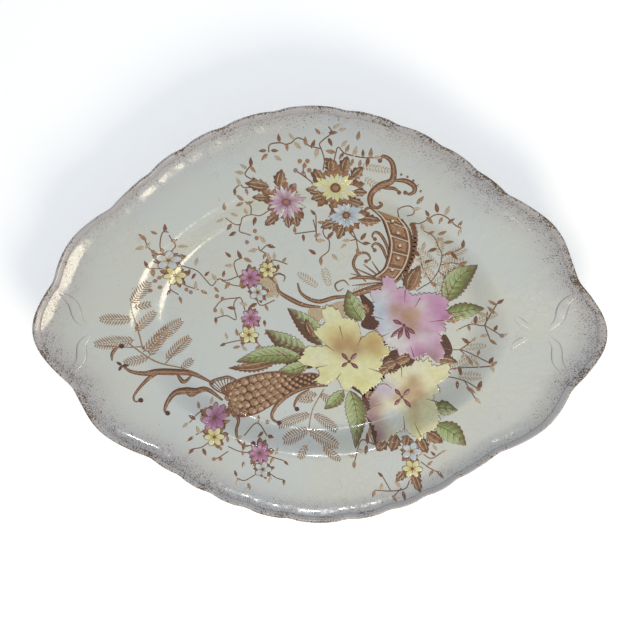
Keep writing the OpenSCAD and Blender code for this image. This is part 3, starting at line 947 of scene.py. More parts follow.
# %% Twigs
TWIGS = [
    [(6, 127), (-2, 129), (-4, 132), (-9, 134), (-13, 131), (-17, 130), (-20, 131), (-27, 130), (-28, 125)],
    [(7, 113), (8, 120), (6, 127), (5, 130), (8, 133), (13, 137), (11, 141)],
    [(13, 114), (15, 122), (17, 128), (21, 124), (28, 122), (34, 121), (40, 121)],
    [(-33, 104), (-41, 108), (-44, 110), (-44, 112), (-40, 117)],
    [(-33, 100), (-41, 102), (-46, 102), (-48, 104), (-52, 101)],
    [(-31, 84), (-38, 80), (-44, 81), (-50, 79), (-52, 74), (-56, 74), (-59, 77), (-61, 80)],
    [(-52, 74), (-53, 69), (-48, 67), (-45, 66)], [(-44, 81), (-43, 88), (-46, 92)],
    [(-40, 58), (-39, 55), (-34, 59)], [(-39, 55), (-35, 53)], [(1, 80), (1, 69), (1, 62)],
    [(1, 69), (-1, 77)], [(1, 69), (-14, 67)],
    [(14, 76), (12, 74), (6, 70), (7, 65), (10, 62), (10, 57), (9, 54), (4, 50)],
    [(24, 68), (29, 63), (33, 60)], [(29, 63), (26, 70)], [(29, 63), (30, 57)], [(29, 63), (25, 62)],
    [(-4, 108), (-6, 113), (-5, 118)], [(-4, 108), (-11, 113)], [(3, 102), (-4, 108)],
    [(-96, 44), (-93, 43), (-85, 40), (-79, 33), (-75, 29), (-70, 34), (-64, 33), (-56, 36)],
    [(-104, 54), (-106, 62), (-103, 72), (-99, 72)], [(-104, 54), (-113, 60), (-116, 68)],
    [(-101, 56), (-96, 62), (-99, 70)], [(-108, 44), (-116, 46)], [(-102, 34), (-106, 27), (-100, 22)],
    [(-101, 34), (-94, 29), (-85, 26)], [(-56, 36), (-58, 46), (-52, 50)],
    [(-40, 44), (-30, 48), (-20, 45)], [(-46, 29), (-58, 29), (-68, 33)],
    [(-44, 20), (-40, 14), (-30, 18)], [(-52, 10), (-55, 20), (-60, 15), (-59, 3), (-66, 6), (-74, 4)],
    [(-55, 20), (-68, 18), (-75, 11)], [(-50, -12), (-60, -14), (-68, -16)],
    [(-46, -12), (-42, -18), (-38, -20)], [(-50, -12), (-56, -18)], [(-82, -66), (-90, -68), (-96, -74)],
    [(-82, -90), (-88, -94), (-94, -95)], [(-80, -78), (-92, -84)], [(-56, -87), (-47, -81), (-39, -89)],
    [(-68, -98), (-74, -102), (-78, -104)], [(-50, -100), (-60, -98), (-68, -94)],
    [(-46, -116), (-56, -122), (-62, -120)], [(-40, -114), (-32, -120), (-26, -122)],
    [(-38, -102), (-26, -106)], [(102, -5), (112, 0), (121, 1), (122, 12)], [(121, 1), (127, 20)],
    [(121, 1), (132, -4)], [(121, 1), (125, -9)], [(92, -19), (105, -20), (113, -13)],
    [(105, -20), (112, -26)], [(105, -20), (125, -25)], [(90, -42), (109, -42), (118, -45)],
    [(92, -38), (112, -32), (126, -27)], [(109, -42), (116, -52)],
    [(70, -120), (67, -126), (56, -129), (44, -129)], [(56, -129), (50, -118)], [(64, -126), (58, -133)],
    [(52, -94), (43, -93), (33, -92), (28, -107)], [(43, -93), (40, -88)],
    [(78, -104), (85, -109), (92, -112)], [(80, -98), (86, -101), (93, -96)],
    [(72, 25), (76, 28), (82, 32), (87, 40), (89, 51), (86, 58)],
    [(68, 76), (72, 76), (81, 83), (88, 82), (95, 76), (99, 74)],
    [(58, 79), (57, 86), (63, 89), (67, 87), (67, 83), (63, 81)], [(41, 85), (53, 80), (61, 77)],
    [(88, 44), (95, 46), (102, 46)], [(87, 40), (92, 36), (98, 38)], [(89, 51), (96, 55), (101, 60)],
    [(86, 58), (82, 66), (75, 70)], [(82, 32), (76, 42), (74, 50)],
]
drawn("twigs", [(0.75, "even", twig) for twig in TWIGS], LINE_BROWN, PRINT_LIFT)

# %% [markdown]
# Three tones in turn keep the leaves from looking stamped, and so does a size that varies a
# little. The dice have a fixed seed, so that every run gives the same spray.

# %% Small leaves on the twigs
LEAF_SPOTS = [
    (-21, 134), (-16, 128), (-9, 129), (-32, 126), (-31, 122), (-22, 121), (-24, 126), (-4, 132),
    (-13, 135), (14, 137), (4, 138), (20, 139), (12, 131), (12, 125), (16, 141), (10, 120), (30, 135),
    (3, 124), (1, 130), (23, 127), (28, 125), (33, 124), (38, 124), (21, 130), (19, 122), (26, 118),
    (43, 121), (36, 118), (31, 117), (-48, 112), (-40, 119), (-39, 114), (-49, 106), (-52, 99), (-44, 99),
    (-45, 116), (-38, 106), (-60, 89), (-65, 78), (-60, 72), (-43, 91), (-47, 84), (-42, 76), (-49, 95),
    (-55, 82), (-58, 67), (-50, 90), (-37, 63), (-31, 58), (-36, 51), (-44, 55), (-1, 82), (-14, 70),
    (4, 62), (-8, 64), (5, 75), (20, 58), (-2, 54), (4, 47), (14, 50), (11, 66), (2, 66), (26, 73),
    (36, 60), (30, 54), (22, 62), (34, 65), (-117, 69), (-114, 63), (-101, 75), (-96, 66), (-92, 60),
    (-117, 49), (-114, 42), (-85, 47), (-88, 36), (-81, 24), (-87, 29), (-107, 24), (-99, 18), (-95, 51),
    (-91, 39), (-109, 72), (-120, 61), (-78, 38), (-72, 26), (-62, 44), (-54, 52), (-22, 48), (-29, 51),
    (-27, 42), (-64, 29), (-73, 35), (-46, 14), (-36, 12), (-27, 22), (-62, 52), (-48, 48), (-33, 50),
    (-66, 38), (-54, 30), (-67, -10), (-70, -17), (-60, -19), (-54, -20), (-38, 0), (-44, -19), (-69, 9),
    (-74, 2), (-36, -7), (-37, -22), (-62, 12), (-59, -7), (-53, 15), (-94, -70), (-90, -63), (-90, -80),
    (-86, -98), (-70, -77), (-99, -76), (-96, -87), (-68, -88), (-81, -62), (-96, -97), (-74, -95),
    (-87, -72), (-63, -116), (-57, -109), (-31, -99), (-24, -108), (-57, -100), (-37, -122), (-26, -124),
    (-53, -127), (-62, -123), (-56, -94), (-35, -106), (-50, -108), (-36, -90), (-46, -78), (-60, -88),
    (-44, -88), (124, 14), (119, 9), (129, 22), (124, 20), (134, -3), (128, 1), (127, -10), (121, -7),
    (115, 4), (111, -3), (115, -11), (109, -13), (113, -28), (108, -25), (126, -23), (118, -20),
    (127, -29), (119, -42), (113, -47), (118, -54), (104, -46), (128, -25), (117, -28), (106, -36),
    (43, -132), (49, -126), (48, -116), (59, -134), (61, -123), (38, -90), (28, -109), (33, -98),
    (37, -97), (40, -86), (26, -102), (93, -113), (86, -113), (95, -95), (87, -97), (85, -105), (88, -92),
    (66, -131), (71, 93), (69, 87), (82, 88), (78, 79), (89, 86), (92, 79), (98, 77), (98, 71), (76, 84),
    (85, 79), (76, 58), (82, 55), (92, 63), (86, 64), (101, 63), (94, 54), (73, 48), (80, 47), (103, 47),
    (93, 43), (92, 34), (84, 30), (79, 36), (98, 40), (80, 69), (74, 73), (97, 52), (104, 44), (78, 41),
    (71, 53), (87, 70),
]


def small_leaf(spot, size):
    """A sliver centred on the spot that points away from the nearest twig."""
    root = nearest(spot, TWIGS)
    away = np.array(spot) - root
    if np.hypot(*away) < 0.5:
        away = np.array(spot, float)
    ahead = away / np.hypot(*away)
    return sliver(spot - ahead * size * 0.5, spot + ahead * size * 0.5, size * 0.4, 0.42)


dice = random.Random(7)
shades = [Films(), Films(), Films()]
for number, spot in enumerate(LEAF_SPOTS):
    size = dice.uniform(5.0, 7.2)
    shades[number % 3].add(small_leaf(np.array(spot, float), size), PLAIN)
shades[0].finish("small_dark_leaves", LINE_BROWN, PRINT_LIFT + 0.02)
shades[1].finish("small_leaves", MID_BROWN, PRINT_LIFT)
shades[2].finish("small_pale_leaves", TAN, PRINT_LIFT + 0.01)

# %% [markdown]
# ## Enamels
#
# After the glaze firing, painters filled the printed outlines by hand with soft enamels. A
# petal is pale at its tip and stronger near the middle, and each colour bleeds into the next.
# A list of washes says that: every wash is a colour, a place, how far it reaches and how strong
# it is. They are mixed for each point of the film and stored on it, and the shader reads them.

# %% The enamel finish and its washes
def enamel_finish():
    paint = Finish("enamel", Roughness=0.24, Coat_Weight=0.6, Coat_Roughness=0.06)
    thin = paint.span(paint.noise(260, 3), 0.3, 0.7, 0.9, 1.06)
    stored = paint.stored("paint", "Color")
    paint.colour(paint.blend(1.0, stored, thin, "MULTIPLY"))
    return paint.material


ENAMEL = enamel_finish()

HUES = {
    "white": shade(200, 203, 196), "lemon": shade(208, 206, 158), "yellow": shade(200, 188, 114),
    "ochre": shade(178, 148, 86), "tan": shade(158, 122, 82), "brown": shade(112, 74, 48),
    "pink": shade(192, 160, 180), "rose": shade(174, 120, 154), "plum": shade(134, 72, 104),
    "mauve": shade(146, 112, 116), "sky": shade(178, 190, 198), "slate": shade(136, 146, 156),
    "mint": shade(166, 178, 132), "leaf": shade(124, 140, 76), "olive": shade(94, 74, 42),
    "umber": shade(92, 58, 34), "bark": shade(122, 82, 52), "cream": shade(208, 204, 168),
    "sepia": shade(152, 112, 76), "lilac": shade(182, 172, 186), "maroon": shade(112, 50, 58),
}


def washed(base, washes):
    """A paint of the base hue with washes of (hue, x, y, reach, strength) laid over it."""
    def paint(x, y):
        colours = np.tile(HUES[base], (len(x), 1))
        for hue, at_x, at_y, reach, strength in washes:
            amount = strength * np.exp(-((x - at_x) ** 2 + (y - at_y) ** 2) / reach**2)
            colours += np.clip(amount, 0, 1)[:, None] * (np.array(HUES[hue]) - colours)
        return colours
    return paint


def frilled(points, middle, margin=0.0, tooth=4.0, depth=1.3):
    """The outline round middle with an uneven saw edge, as serrated petals have, pushed out by margin.
    It is kept as a distance for each direction, so that it never crosses itself."""
    spokes = flow(points, 1.0, closed=True) - np.array(middle, float)
    turns = np.unwrap(np.arctan2(spokes[:, 1], spokes[:, 0]))
    if turns[-1] <= turns[0]:
        turns, spokes = turns[::-1], spokes[::-1]
    reach = np.hypot(*spokes.T)
    turns = np.maximum.accumulate(turns) + 1e-5 * np.arange(len(turns))
    count = np.arange(len(turns))
    even = turns[0] + 2 * math.pi * count / len(count)
    reach = np.interp(even, turns, reach, period=2 * math.pi)
    saw = (np.abs(((count / tooth) % 1) - 0.5) * 4 - 1) * (0.65 + 0.35 * np.sin(count * 0.43))
    reach = reach + saw * depth + margin
    return np.array(middle) + reach[:, None] * np.column_stack([np.cos(even), np.sin(even)])

# %% [markdown]
# ### Green and brown leaves
#
# A leaf is shaded across: the half away from the light is dark, the tip turns brown, and veins
# run out from the midrib. The shade comes from how far along and how far across a point lies.

# %% Large leaves
class Leaf:
    """A large leaf from base to tip, bowed sideways by bend, with a saw edge."""

    def __init__(self, base, tip, width, bend=0.0, hues=("mint", "leaf", "olive"), dark_side=1, saw=0.16):
        self.base, self.along = np.array(base, float), np.array(tip, float) - np.array(base, float)
        self.length = np.hypot(*self.along)
        self.side = np.array([-self.along[1], self.along[0]]) / self.length
        self.width, self.bend, self.hues, self.dark_side, self.saw = width, bend, hues, dark_side, saw

    def half(self, t):
        return self.width / 2 * np.sin(math.pi * np.clip(t, 0, 1) ** 0.8) + 0.05

    def at(self, t, s):
        """The point t of the way along and s of the half width across."""
        t, s = np.asarray(t, float), np.asarray(s, float)
        across = self.bend * np.sin(math.pi * t) + s * self.half(t)
        return self.base + t[..., None] * self.along + across[..., None] * self.side

    def outline(self, margin=0.0):
        t = np.linspace(0, 1, max(14, round(self.length / 1.6)))
        saw = 1 + 2 * self.saw * (((t * self.length / 3.4) % 1) - 0.5) + margin / np.maximum(self.half(t), 1)
        return np.vstack([self.at(t, -saw), self.at(t[-2:0:-1], saw[-2:0:-1])])

    def paint(self, x, y):
        offset = np.column_stack([x, y]) - self.base
        t = offset @ self.along / self.length**2
        s = (offset @ self.side - self.bend * np.sin(math.pi * t)) / np.maximum(self.half(t), 0.3)
        light, middle, dark = (np.array(HUES[hue]) for hue in self.hues)
        ribs = 0.5 + 0.5 * np.cos(2 * math.pi * (t * self.length / 4.5 - np.abs(s) * 0.8))
        shadow = np.clip(0.5 + 0.5 * s * self.dark_side - 0.45 * ribs * (1 - np.abs(s)), 0, 1)
        colours = light + np.clip(shadow * 2, 0, 1)[:, None] * (middle - light)
        colours += np.clip(shadow * 2 - 1, 0, 1)[:, None] * (dark - colours)
        browned = np.clip((t - 0.7) * 2.6, 0, 0.8)[:, None]
        return colours + browned * (np.array(HUES["umber"]) - colours)

    def veins(self):
        t = np.linspace(0, 0.97, 6)
        yield 0.7, "whip", self.at(t, 0 * t)
        for start in np.linspace(0.14, 0.74, max(3, round(self.length / 7))):
            for way in (-1, 1):
                run = np.linspace(0, 1, 3)
                yield 0.45, "whip", self.at(start + 0.16 * run, way * 0.8 * run)


UMBER_HUES = ("mint", "olive", "umber")
GREEN_LEAVES = [
    Leaf((4, -17), (-21, 12), 14, -2, UMBER_HUES), Leaf((-8, -21), (-38, -5), 15, 2, UMBER_HUES),
    Leaf((-12, -26), (-61, -31), 14, -3), Leaf((-7, -33), (-30, -39), 10, 1),
    Leaf((34, 2), (23, 26), 13, 2), Leaf((20, -54), (5, -70), 9, 1), Leaf((25, -54), (29, -97), 15, 3),
    Leaf((93, 17), (112, 48), 16, 2, dark_side=-1), Leaf((93, 8), (120, 14), 13, -1),
    Leaf((88, -74), (111, -89), 16, 2), Leaf((88, -64), (104, -62), 8, 1),
]
BROWN_HUES = ("sepia", "bark", "umber")


def brown_leaf(base, tip, width, bend=0.0):
    """A leaf printed in brown, with a deeper saw edge than the green ones."""
    return Leaf(base, tip, width, bend, BROWN_HUES, 1, 0.3)


BROWN_LEAF_ROWS = [
    ((66, 25), (74, 44), 12, 1), ((93, 3), (109, 8), 7), ((95, 20), (92, 34), 7),
    ((-30, -30), (-67, -36), 9, 2), ((-29, 102), (-45, 105), 7), ((-23, 102), (-20, 114), 7),
    ((-30, 94), (-41, 95), 5), ((-26, 80), (-35, 73), 6), ((-19, 79), (-18, 71), 5),
    ((-13, 79), (-12, 72), 5), ((6, 106), (1, 114), 6), ((12, 112), (12, 121), 7),
    ((20, 112), (23, 122), 7), ((26, 108), (33, 115), 7), ((27, 98), (36, 98), 6), ((24, 92), (34, 88), 6),
    ((5, 98), (-5, 100), 6), ((7, 95), (-2, 92), 6), ((15, 76), (4, 71), 6), ((20, 73), (16, 63), 6),
    ((31, 77), (46, 76), 8), ((73, -115), (78, -127), 7), ((66, -113), (60, -121), 6),
    ((49, -34), (60, -29), 9), ((58, -30), (70, -25), 9), ((46, -38), (54, -34), 8),
    ((38, 8), (30, 16), 7), ((41, -54), (38, -62), 7), ((90, -28), (104, -30), 8),
    ((52, -88), (45, -97), 9), ((60, -85), (56, -97), 9), ((68, -84), (66, -93), 7),
    ((76, -84), (83, -97), 9), ((82, -80), (94, -88), 9), ((-21, -28), (-30, -21), 6),
    ((-3, -10), (-8, 4), 6),
]
BROWN_LEAVES = [brown_leaf(*row) for row in BROWN_LEAF_ROWS]
greens, browns = Films(), Films()
LAYER, RIM = 0.012, 0.35
under_leaves = Films()
for number, leaf in enumerate(GREEN_LEAVES):
    greens.add(leaf.outline(), leaf.paint, LAYER * (number % 6))
    under_leaves.add(leaf.outline(RIM), PLAIN, 0.04 + LAYER * (number % 6))
for number, leaf in enumerate(BROWN_LEAVES):
    browns.add(leaf.outline(), leaf.paint, LAYER * (number % 6))
    under_leaves.add(leaf.outline(RIM), PLAIN, LAYER * (number % 6))
under_leaves.finish("leaf_edges", LINE_BROWN, LEAF_LIFT - 0.06)
greens.finish("green_leaves", ENAMEL, LEAF_LIFT, "enamel_leaves", "green_enamel")
browns.finish("brown_leaves", ENAMEL, LEAF_LIFT - 0.04)
veins = [vein for leaf in GREEN_LEAVES + BROWN_LEAVES for vein in leaf.veins()]
drawn("leaf_veins", veins, LINE_BROWN, LEAF_LIFT + 0.13, squash=0.06)
stations = np.linspace(0.12, 0.8, 5)
lights = [(0.8, "both", leaf.at(stations, 0 * stations + s)) for leaf in BROWN_LEAVES for s in (-0.5, 0.4)]
drawn("leaf_lights", lights, TAN, LEAF_LIFT + 0.12, squash=0.06)

# %% [markdown]
# ### The three large blooms
#
# Each bloom is a few broad petals with a saw edge. The outline of the whole bloom is one film;
# the gaps between petals are drawn on it as fine brown lines from each valley inwards. The
# three outlines came out of the scratch script too, and have more points than they need: petals
# round a middle, with the saw edge as a wave, would be the better way.

# %% A helper for blooms
def bloom(colour, outline, middle, base, washes, valleys, stamens):
    """A large bloom: its film, the dark rim below it, petal gaps, pale streaks and stamens."""
    name = colour + "_bloom"
    edge = frilled(outline, middle)
    film = Films()
    film.add(edge, washed(base, washes))
    film.finish(name, ENAMEL, BLOOM_LIFT, "enamel_" + name, colour + "_enamel")
    middle = np.array(middle, float)
    back = Films()
    back.add(frilled(outline, middle, 0.45), PLAIN)
    back.finish(name + "_edge", LINE_BROWN, BLOOM_LIFT - 0.07)
    lines = [(0.8, "whip", [v, v + 0.35 * (middle - v)]) for v in np.array(valleys, float)]
    drawn(name + "_outline", lines, LINE_BROWN, OUTLINE_LIFT - 0.04, squash=0.06)
    streaks = [(0.4, "whip", [p + 0.04 * (middle - p), p + 0.36 * (middle - p)]) for p in edge[::5]]
    drawn(name + "_streaks", streaks, TAN, OUTLINE_LIFT - 0.06, squash=0.06)
    heads = Films()
    for tip in np.array(stamens, float):
        heads.add(sliver(middle, middle + 1.4 * (tip - middle), 3.0, 0.62), HUES["maroon"])
        light = sliver(middle + 0.6 * (tip - middle), middle + 1.2 * (tip - middle), 0.8)
        heads.add(light, HUES["mauve"], 0.05)
    heads.add(disc(middle, 1.2), HUES["umber"], 0.06)
    heads.finish(name + "_stamens", ENAMEL, OUTLINE_LIFT, slot="violet_enamel")

# %% [markdown]
# The yellow bloom is lemon, with ochre and tan washes round its middle.

# %% The yellow bloom
YELLOW_EDGE = [
    (8, 14), (4, 8), (8, 2), (3, -2), (-2, -7), (3, -12), (7, -17), (3, -18), (-2, -18), (-8, -19),
    (-11, -26), (-14, -29), (-9, -33), (-1, -35), (2, -41), (-2, -45), (4, -49), (10, -47), (15, -44),
    (19, -52), (23, -54), (27, -50), (32, -54), (35, -57), (40, -52), (45, -49), (51, -42), (46, -38),
    (49, -31), (47, -28), (54, -23), (50, -14), (44, -6), (39, -7), (33, -11), (32, -5), (30, 1), (25, 4),
    (19, 5), (17, 10), (11, 13),
]
YELLOW_WASHES = [
    ("white", 8, 4, 8, 0.35), ("yellow", 12, -4, 8, 0.35), ("white", 2, -26, 8, 0.3),
    ("yellow", 33, -48, 7, 0.5), ("ochre", 42, -14, 11, 0.9), ("yellow", 50, -26, 6, 0.5),
    ("ochre", 14, -13, 8, 0.75), ("ochre", 24, -12, 8, 0.7), ("tan", 17, -19, 6, 0.85),
    ("tan", 29, -20, 6, 0.85), ("tan", 40, -19, 5, 0.5), ("tan", 23, -15, 5, 0.6),
    ("tan", 24, -27, 4, 0.6), ("yellow", 4, -40, 5, 0.4), ("ochre", 46, -24, 4, 0.5),
]
YELLOW_VALLEYS = [(7, -17), (-1, -35), (15, -44), (46, -38), (33, -11), (17, -2)]
YELLOW_STAMENS = [(20, -25), (28, -25), (20, -33), (29, -34)]
bloom("yellow", YELLOW_EDGE, (24, -30), "lemon", YELLOW_WASHES, YELLOW_VALLEYS, YELLOW_STAMENS)

# %% [markdown]
# The violet bloom is pink, with sky blue washes along the west side and rose along the east.

# %% The violet bloom
VIOLET_EDGE = [
    (48, 35), (47, 27), (39, 25), (41, 19), (42, 11), (41, 6), (46, 1), (44, -4), (48, -10), (51, -17),
    (59, -19), (61, -25), (67, -23), (72, -28), (82, -24), (85, -32), (93, -27), (94, -21), (91, -15),
    (92, -11), (89, -7), (94, -6), (93, 1), (99, 6), (94, 10), (95, 18), (87, 23), (75, 23), (69, 22),
    (64, 28), (58, 27), (57, 33), (52, 36),
]
VIOLET_WASHES = [
    ("rose", 52, 30, 6, 0.35), ("white", 48, 22, 6, 0.6), ("sky", 44, 14, 8, 0.95), ("sky", 47, 6, 7, 0.9),
    ("sky", 52, -4, 7, 0.9), ("white", 56, -12, 7, 0.9), ("white", 64, -17, 6, 0.7),
    ("rose", 62, 20, 5, 0.6), ("rose", 90, 12, 8, 0.85), ("rose", 84, 18, 6, 0.5), ("rose", 92, 3, 6, 0.8),
    ("plum", 95, 5, 4, 0.5), ("plum", 80, -6, 4, 0.4), ("white", 78, -10, 5, 0.5),
    ("rose", 74, -22, 6, 0.8), ("mauve", 86, -26, 7, 0.95), ("plum", 78, -24, 4, 0.5),
    ("plum", 90, -16, 4, 0.4), ("tan", 66, 6, 8, 0.85), ("tan", 57, 11, 5, 0.7), ("ochre", 72, 8, 5, 0.5),
    ("tan", 70, -3, 6, 0.7), ("white", 76, 14, 4, 0.5), ("slate", 47, 10, 3, 0.4),
]
VIOLET_VALLEYS = [(48, -10), (41, 6), (64, 26), (92, 3), (72, -26), (75, 20)]
VIOLET_STAMENS = [(57, -8), (61, -9), (67, -9), (70, -6), (58, 2)]
bloom("violet", VIOLET_EDGE, (64, -1), "pink", VIOLET_WASHES, VIOLET_VALLEYS, VIOLET_STAMENS)

# %% [markdown]
# The cream bloom is cream and yellow to the east, and lilac, mauve and white to the west.

# %% The cream bloom
CREAM_EDGE = [
    (82, -27), (81, -29), (73, -29), (70, -33), (63, -34), (59, -38), (51, -40), (48, -45), (52, -48),
    (46, -49), (43, -54), (39, -61), (40, -68), (37, -74), (41, -80), (45, -86), (46, -90), (52, -90),
    (55, -87), (61, -83), (66, -81), (69, -82), (73, -84), (78, -87), (80, -81), (86, -79), (89, -75),
    (91, -68), (89, -62), (87, -57), (92, -53), (90, -48), (95, -45), (98, -41), (98, -31), (94, -32),
    (87, -33),
]
CREAM_WASHES = [
    ("yellow", 90, -40, 6, 0.35), ("white", 72, -34, 6, 0.4), ("lemon", 84, -66, 9, 0.6),
    ("lilac", 47, -50, 9, 1.0), ("lilac", 54, -54, 6, 1.0), ("white", 56, -74, 8, 1.0),
    ("white", 63, -78, 6, 0.9), ("mauve", 41, -64, 8, 1.0), ("mauve", 41, -76, 9, 1.0),
    ("mauve", 46, -88, 8, 1.0), ("yellow", 76, -80, 5, 0.6), ("yellow", 70, -74, 4, 0.5),
    ("tan", 72, -46, 6, 0.8), ("tan", 76, -56, 7, 0.85), ("tan", 66, -56, 5, 0.8),
    ("tan", 72, -64, 5, 0.75), ("sepia", 60, -60, 4, 0.6), ("ochre", 74, -72, 4, 0.5),
    ("sepia", 68, -52, 4, 0.5),
]
CREAM_VALLEYS = [(52, -48), (40, -68), (66, -81), (91, -60), (63, -34), (78, -84)]
CREAM_STAMENS = [(60, -54), (68, -54), (60, -64), (69, -65)]
bloom("cream", CREAM_EDGE, (64, -59), "cream", CREAM_WASHES, CREAM_VALLEYS, CREAM_STAMENS)

# %% [markdown]
# ### Asters
#
# The three asters have many narrow petals round a dark middle. One loop sets the petals round
# the middle, a little longer or shorter each time, because a painter's hand is not even.

# %% Asters
def aster(colour, middle, reach, count, outer, inner, heart, heart_r):
    """Count narrow petals round middle; reach is how far they go east-west and north-south."""
    name = colour + "_aster"
    dice = random.Random(count)
    middle = np.array(middle, float)
    film, edges = Films(), Films()
    for number in range(count):
        turn = 2 * math.pi * (number + dice.uniform(-0.2, 0.2)) / count
        way = np.array([math.cos(turn), math.sin(turn)])
        length = 1 / math.hypot(way[0] / reach[0], way[1] / reach[1]) * dice.uniform(0.86, 1.08)
        petal = sliver(middle + way * 2.0, middle + way * length, 2 * math.pi * length * 0.8 / count, 0.5)
        tint = outer if number % 3 else "white"
        film.add(petal, washed(tint, [(inner, *middle, length * 0.5, 0.9)]), 0.01 * (number % 4))
        wider = sliver(middle, middle + way * (length + 0.5), 2 * math.pi * length * 0.8 / count + 0.8, 0.5)
        edges.add(wider, PLAIN, 0.01 * (number % 4))
    film.finish(name, ENAMEL, LEAF_LIFT + 0.06, "enamel_" + name, colour + "_enamel")
    edges.finish(name + "_edges", LINE_BROWN, LEAF_LIFT + 0.01)
    eye = Films()
    eye.add(disc(middle, heart_r, 14), HUES[heart])
    eye.add(disc(middle, heart_r * 0.55, 10), HUES["sepia"], 0.05)
    eye.finish(name + "_heart", ENAMEL, OUTLINE_LIFT - 0.08)


CALYX = 13


def calyx(films, middle, inner, outer, skip=(), lift=0.0):
    """A ring of brown leaf points round a flower; skip lists the numbers to leave out."""
    for number in range(CALYX):
        if number not in skip:
            turn = 2 * math.pi * (number + 0.3) / CALYX
            way = np.array([math.cos(turn), math.sin(turn)])
            reach = outer * (0.84 + 0.16 * math.cos(number * 2.4))
            point = brown_leaf(middle + way * inner, middle + way * reach, outer * 0.44)
            films.add(point.outline(), point.paint, lift + LAYER * (number % 6))


surrounds = Films()
calyx(surrounds, np.array((-19, 90)), 5, 19, (0, 1, 12))
calyx(surrounds, np.array((15, 101)), 5, 20, (6,), 0.004)
calyx(surrounds, np.array((22, 80)), 4, 15, (2, 3, 4), 0.008)
surrounds.finish("aster_surrounds", ENAMEL, PRINT_LIFT)
aster("pink", (-19, 90), (13, 13), 22, "pink", "plum", "plum", 3.2)
aster("yellow", (15, 101), (15, 11), 17, "lemon", "yellow", "brown", 3.6)
aster("blue", (22, 80), (13, 9), 14, "sky", "slate", "brown", 2.6)

# %% [markdown]
# ### Small blossoms and berries
#
# The small blossoms share one shape, with five, six or eight petals. Petals are a wave round
# the middle, and the colours repeat: pink, white and yellow over a brown printed edge.

# %% Small blossoms
PINK_BLOSSOMS = [(-47, 35, 7.5), (-48, 4, 7), (-78, -73, 9), (-44, -100, 8)]
WHITE_BLOSSOMS = [(-103, 50, 8), (-42, 24, 6.5), (-42, -113, 6.5), (71, -96, 7.5)]
YELLOW_BLOSSOMS = [(-101, 37, 7.5), (-34, 41, 6), (-50, -9, 7), (-78, -86, 7.5), (72, -110, 7.5)]
PETALS_OF = {"rose": 8, "sky": 5, "lemon": 6}
FAMILIES = [
    (PINK_BLOSSOMS, "rose", "plum", "pink"), (WHITE_BLOSSOMS, "sky", "ochre", "white"),
    (YELLOW_BLOSSOMS, "lemon", "ochre", "yellow"),
]
SKIPPED = [(0, 1, 5, 6, 10), (2, 3, 7, 8, 12), (1, 4, 5, 9, 11)]
blossoms, hearts, nest = Films(), Films(), Films()
petal_gaps = []
for family, base, core, edge in FAMILIES:
    for x, y, radius in family:
        count = PETALS_OF[base]
        turn = np.linspace(0, 2 * math.pi, count * 10, endpoint=False)
        wave = radius * (0.52 + 0.48 * np.abs(np.cos(count * turn / 2)))
        petals = np.column_stack([x + wave * np.cos(turn), y + wave * np.sin(turn)])
        nest.add(np.column_stack([x + (wave + 0.5) * np.cos(turn), y + (wave + 0.5) * np.sin(turn)]),
                 HUES["bark"], 0.08)
        tints = [(edge, x - radius / 2, y + radius / 2, radius * 0.5, 0.8), (core, x, y, radius * 0.42, 0.8)]
        blossoms.add(petals, washed(base, tints))
        for valley in petals[5::10]:
            petal_gaps.append((0.4, "both", [(x, y), valley]))
        hearts.add(disc((x, y), 1.3), HUES["brown"])
        skip = SKIPPED[(abs(x) // 4) % 3]
        calyx(nest, np.array((x, y)), radius * 0.4, radius * 1.45, skip, 0.004 * (y % 3))
nest.finish("blossom_leaves", ENAMEL, PRINT_LIFT)
blossoms.finish("small_blossoms", ENAMEL, LEAF_LIFT + 0.06, "enamel_small_blossoms", "pink_enamel")
drawn("blossom_outlines", petal_gaps, LINE_BROWN, OUTLINE_LIFT - 0.12, squash=0.06)
hearts.finish("blossom_hearts", ENAMEL, OUTLINE_LIFT - 0.08)

# %% [markdown]
# Berries are the last printed dots, sepia with every fourth one mauve.

# %% Berries
BERRIES = [
    (-6, 111), (-5, 116), (-3, 119), (-8, 119), (-11, 113), (-2, 113), (-42, 69), (-41, 64), (-48, 61),
    (-105, 59), (-111, 58), (-111, 37), (-114, 35), (-118, 28), (-112, 29), (-94, 26), (-91, 24),
    (-72, 21), (-74, 10), (-68, 19), (-12, 103), (-79, -104), (-74, -104), (-39, -81), (132, -4),
    (118, -45),
]
berries = Films()
for number, spot in enumerate(BERRIES):
    berries.add(disc(spot, 1.5), HUES["sepia" if number % 4 else "mauve"])
berries.finish("berries", ENAMEL, LEAF_LIFT)

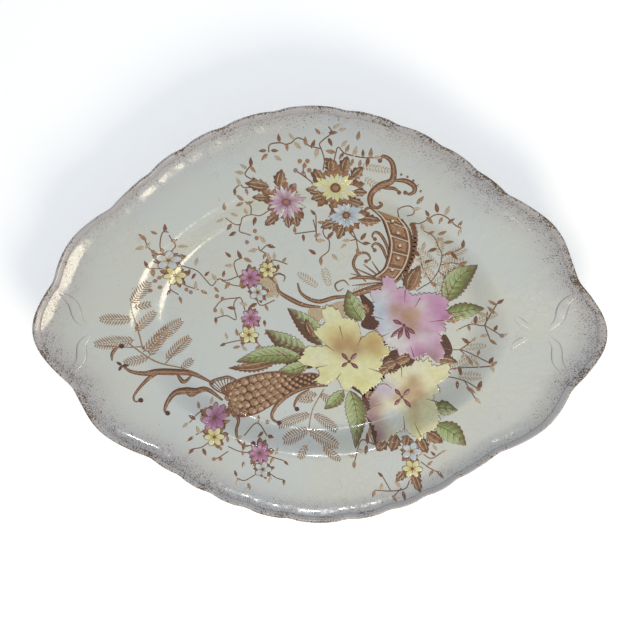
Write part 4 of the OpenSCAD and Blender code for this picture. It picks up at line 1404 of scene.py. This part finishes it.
# %% [markdown]
# ## The studio
#
# The dish lies on a pale table, seen from above. A glossy glaze shows whatever is bright around
# it. A pale sky on all sides gives the even white, a warm lamp low on one side tints it, and
# three small lamps overhead give the sparkles on the lip and on the curve of the well.

# %% Floor, lamps and camera
def table_top():
    bpy.ops.mesh.primitive_plane_add(size=12, location=(0, 0, -0.0004))
    floor = bpy.context.object
    floor.name = "floor"
    paper = Finish("floor paper", Roughness=0.9, Specular_IOR_Level=0.1)
    paper.shader.inputs["Base Color"].default_value = shade(246, 246, 246)
    paper.shader.inputs["Emission Color"].default_value = shade(255, 255, 255)
    paper.shader.inputs["Emission Strength"].default_value = 0.2
    floor.data.materials.append(paper.material)


def lamp(name, spot, size, power, colour=(255, 255, 255)):
    """A square lamp that faces the dish; spot is where it hangs, in metres."""
    light = bpy.data.lights.new(name, "AREA")
    light.size = size
    light.energy = power
    light.color = shade(*colour)[:3]
    holder = bpy.data.objects.new(name, light)
    holder.location = spot
    holder.rotation_euler = (-Vector(spot)).to_track_quat("-Z", "Y").to_euler()
    bpy.context.scene.collection.objects.link(holder)


table_top()
lamp("warm_side", (0.3, -0.6, 0.62), 0.4, 4.2, (255, 242, 214))
lamp("ceiling_left", (-0.32, 0.62, 1.5), 0.07, 1.8)
lamp("ceiling_middle", (-0.05, 0.75, 1.6), 0.1, 3)
lamp("ceiling_right", (0.3, 0.6, 1.5), 0.07, 1.4)

sky = bpy.data.worlds.new("studio")
sky.use_nodes = True
sky.node_tree.nodes["Background"].inputs["Color"].default_value = shade(232, 241, 252)
sky.node_tree.nodes["Background"].inputs["Strength"].default_value = 0.57
bpy.context.scene.world = sky
bpy.context.scene.view_settings.view_transform = "Standard"

VIEW_AT, VIEW_TURN, VIEW_LENS = (27.06, 175.98, 486.24), (-20.0, 2.634, -0.802), 39.04
eye = bpy.data.cameras.new("eye")
eye.lens = VIEW_LENS
eye.clip_start = 0.01
camera = bpy.data.objects.new("eye", eye)
camera.location = Vector(VIEW_AT) * MM
camera.rotation_euler = [math.radians(turn) for turn in VIEW_TURN]
bpy.context.scene.collection.objects.link(camera)
bpy.context.scene.camera = camera
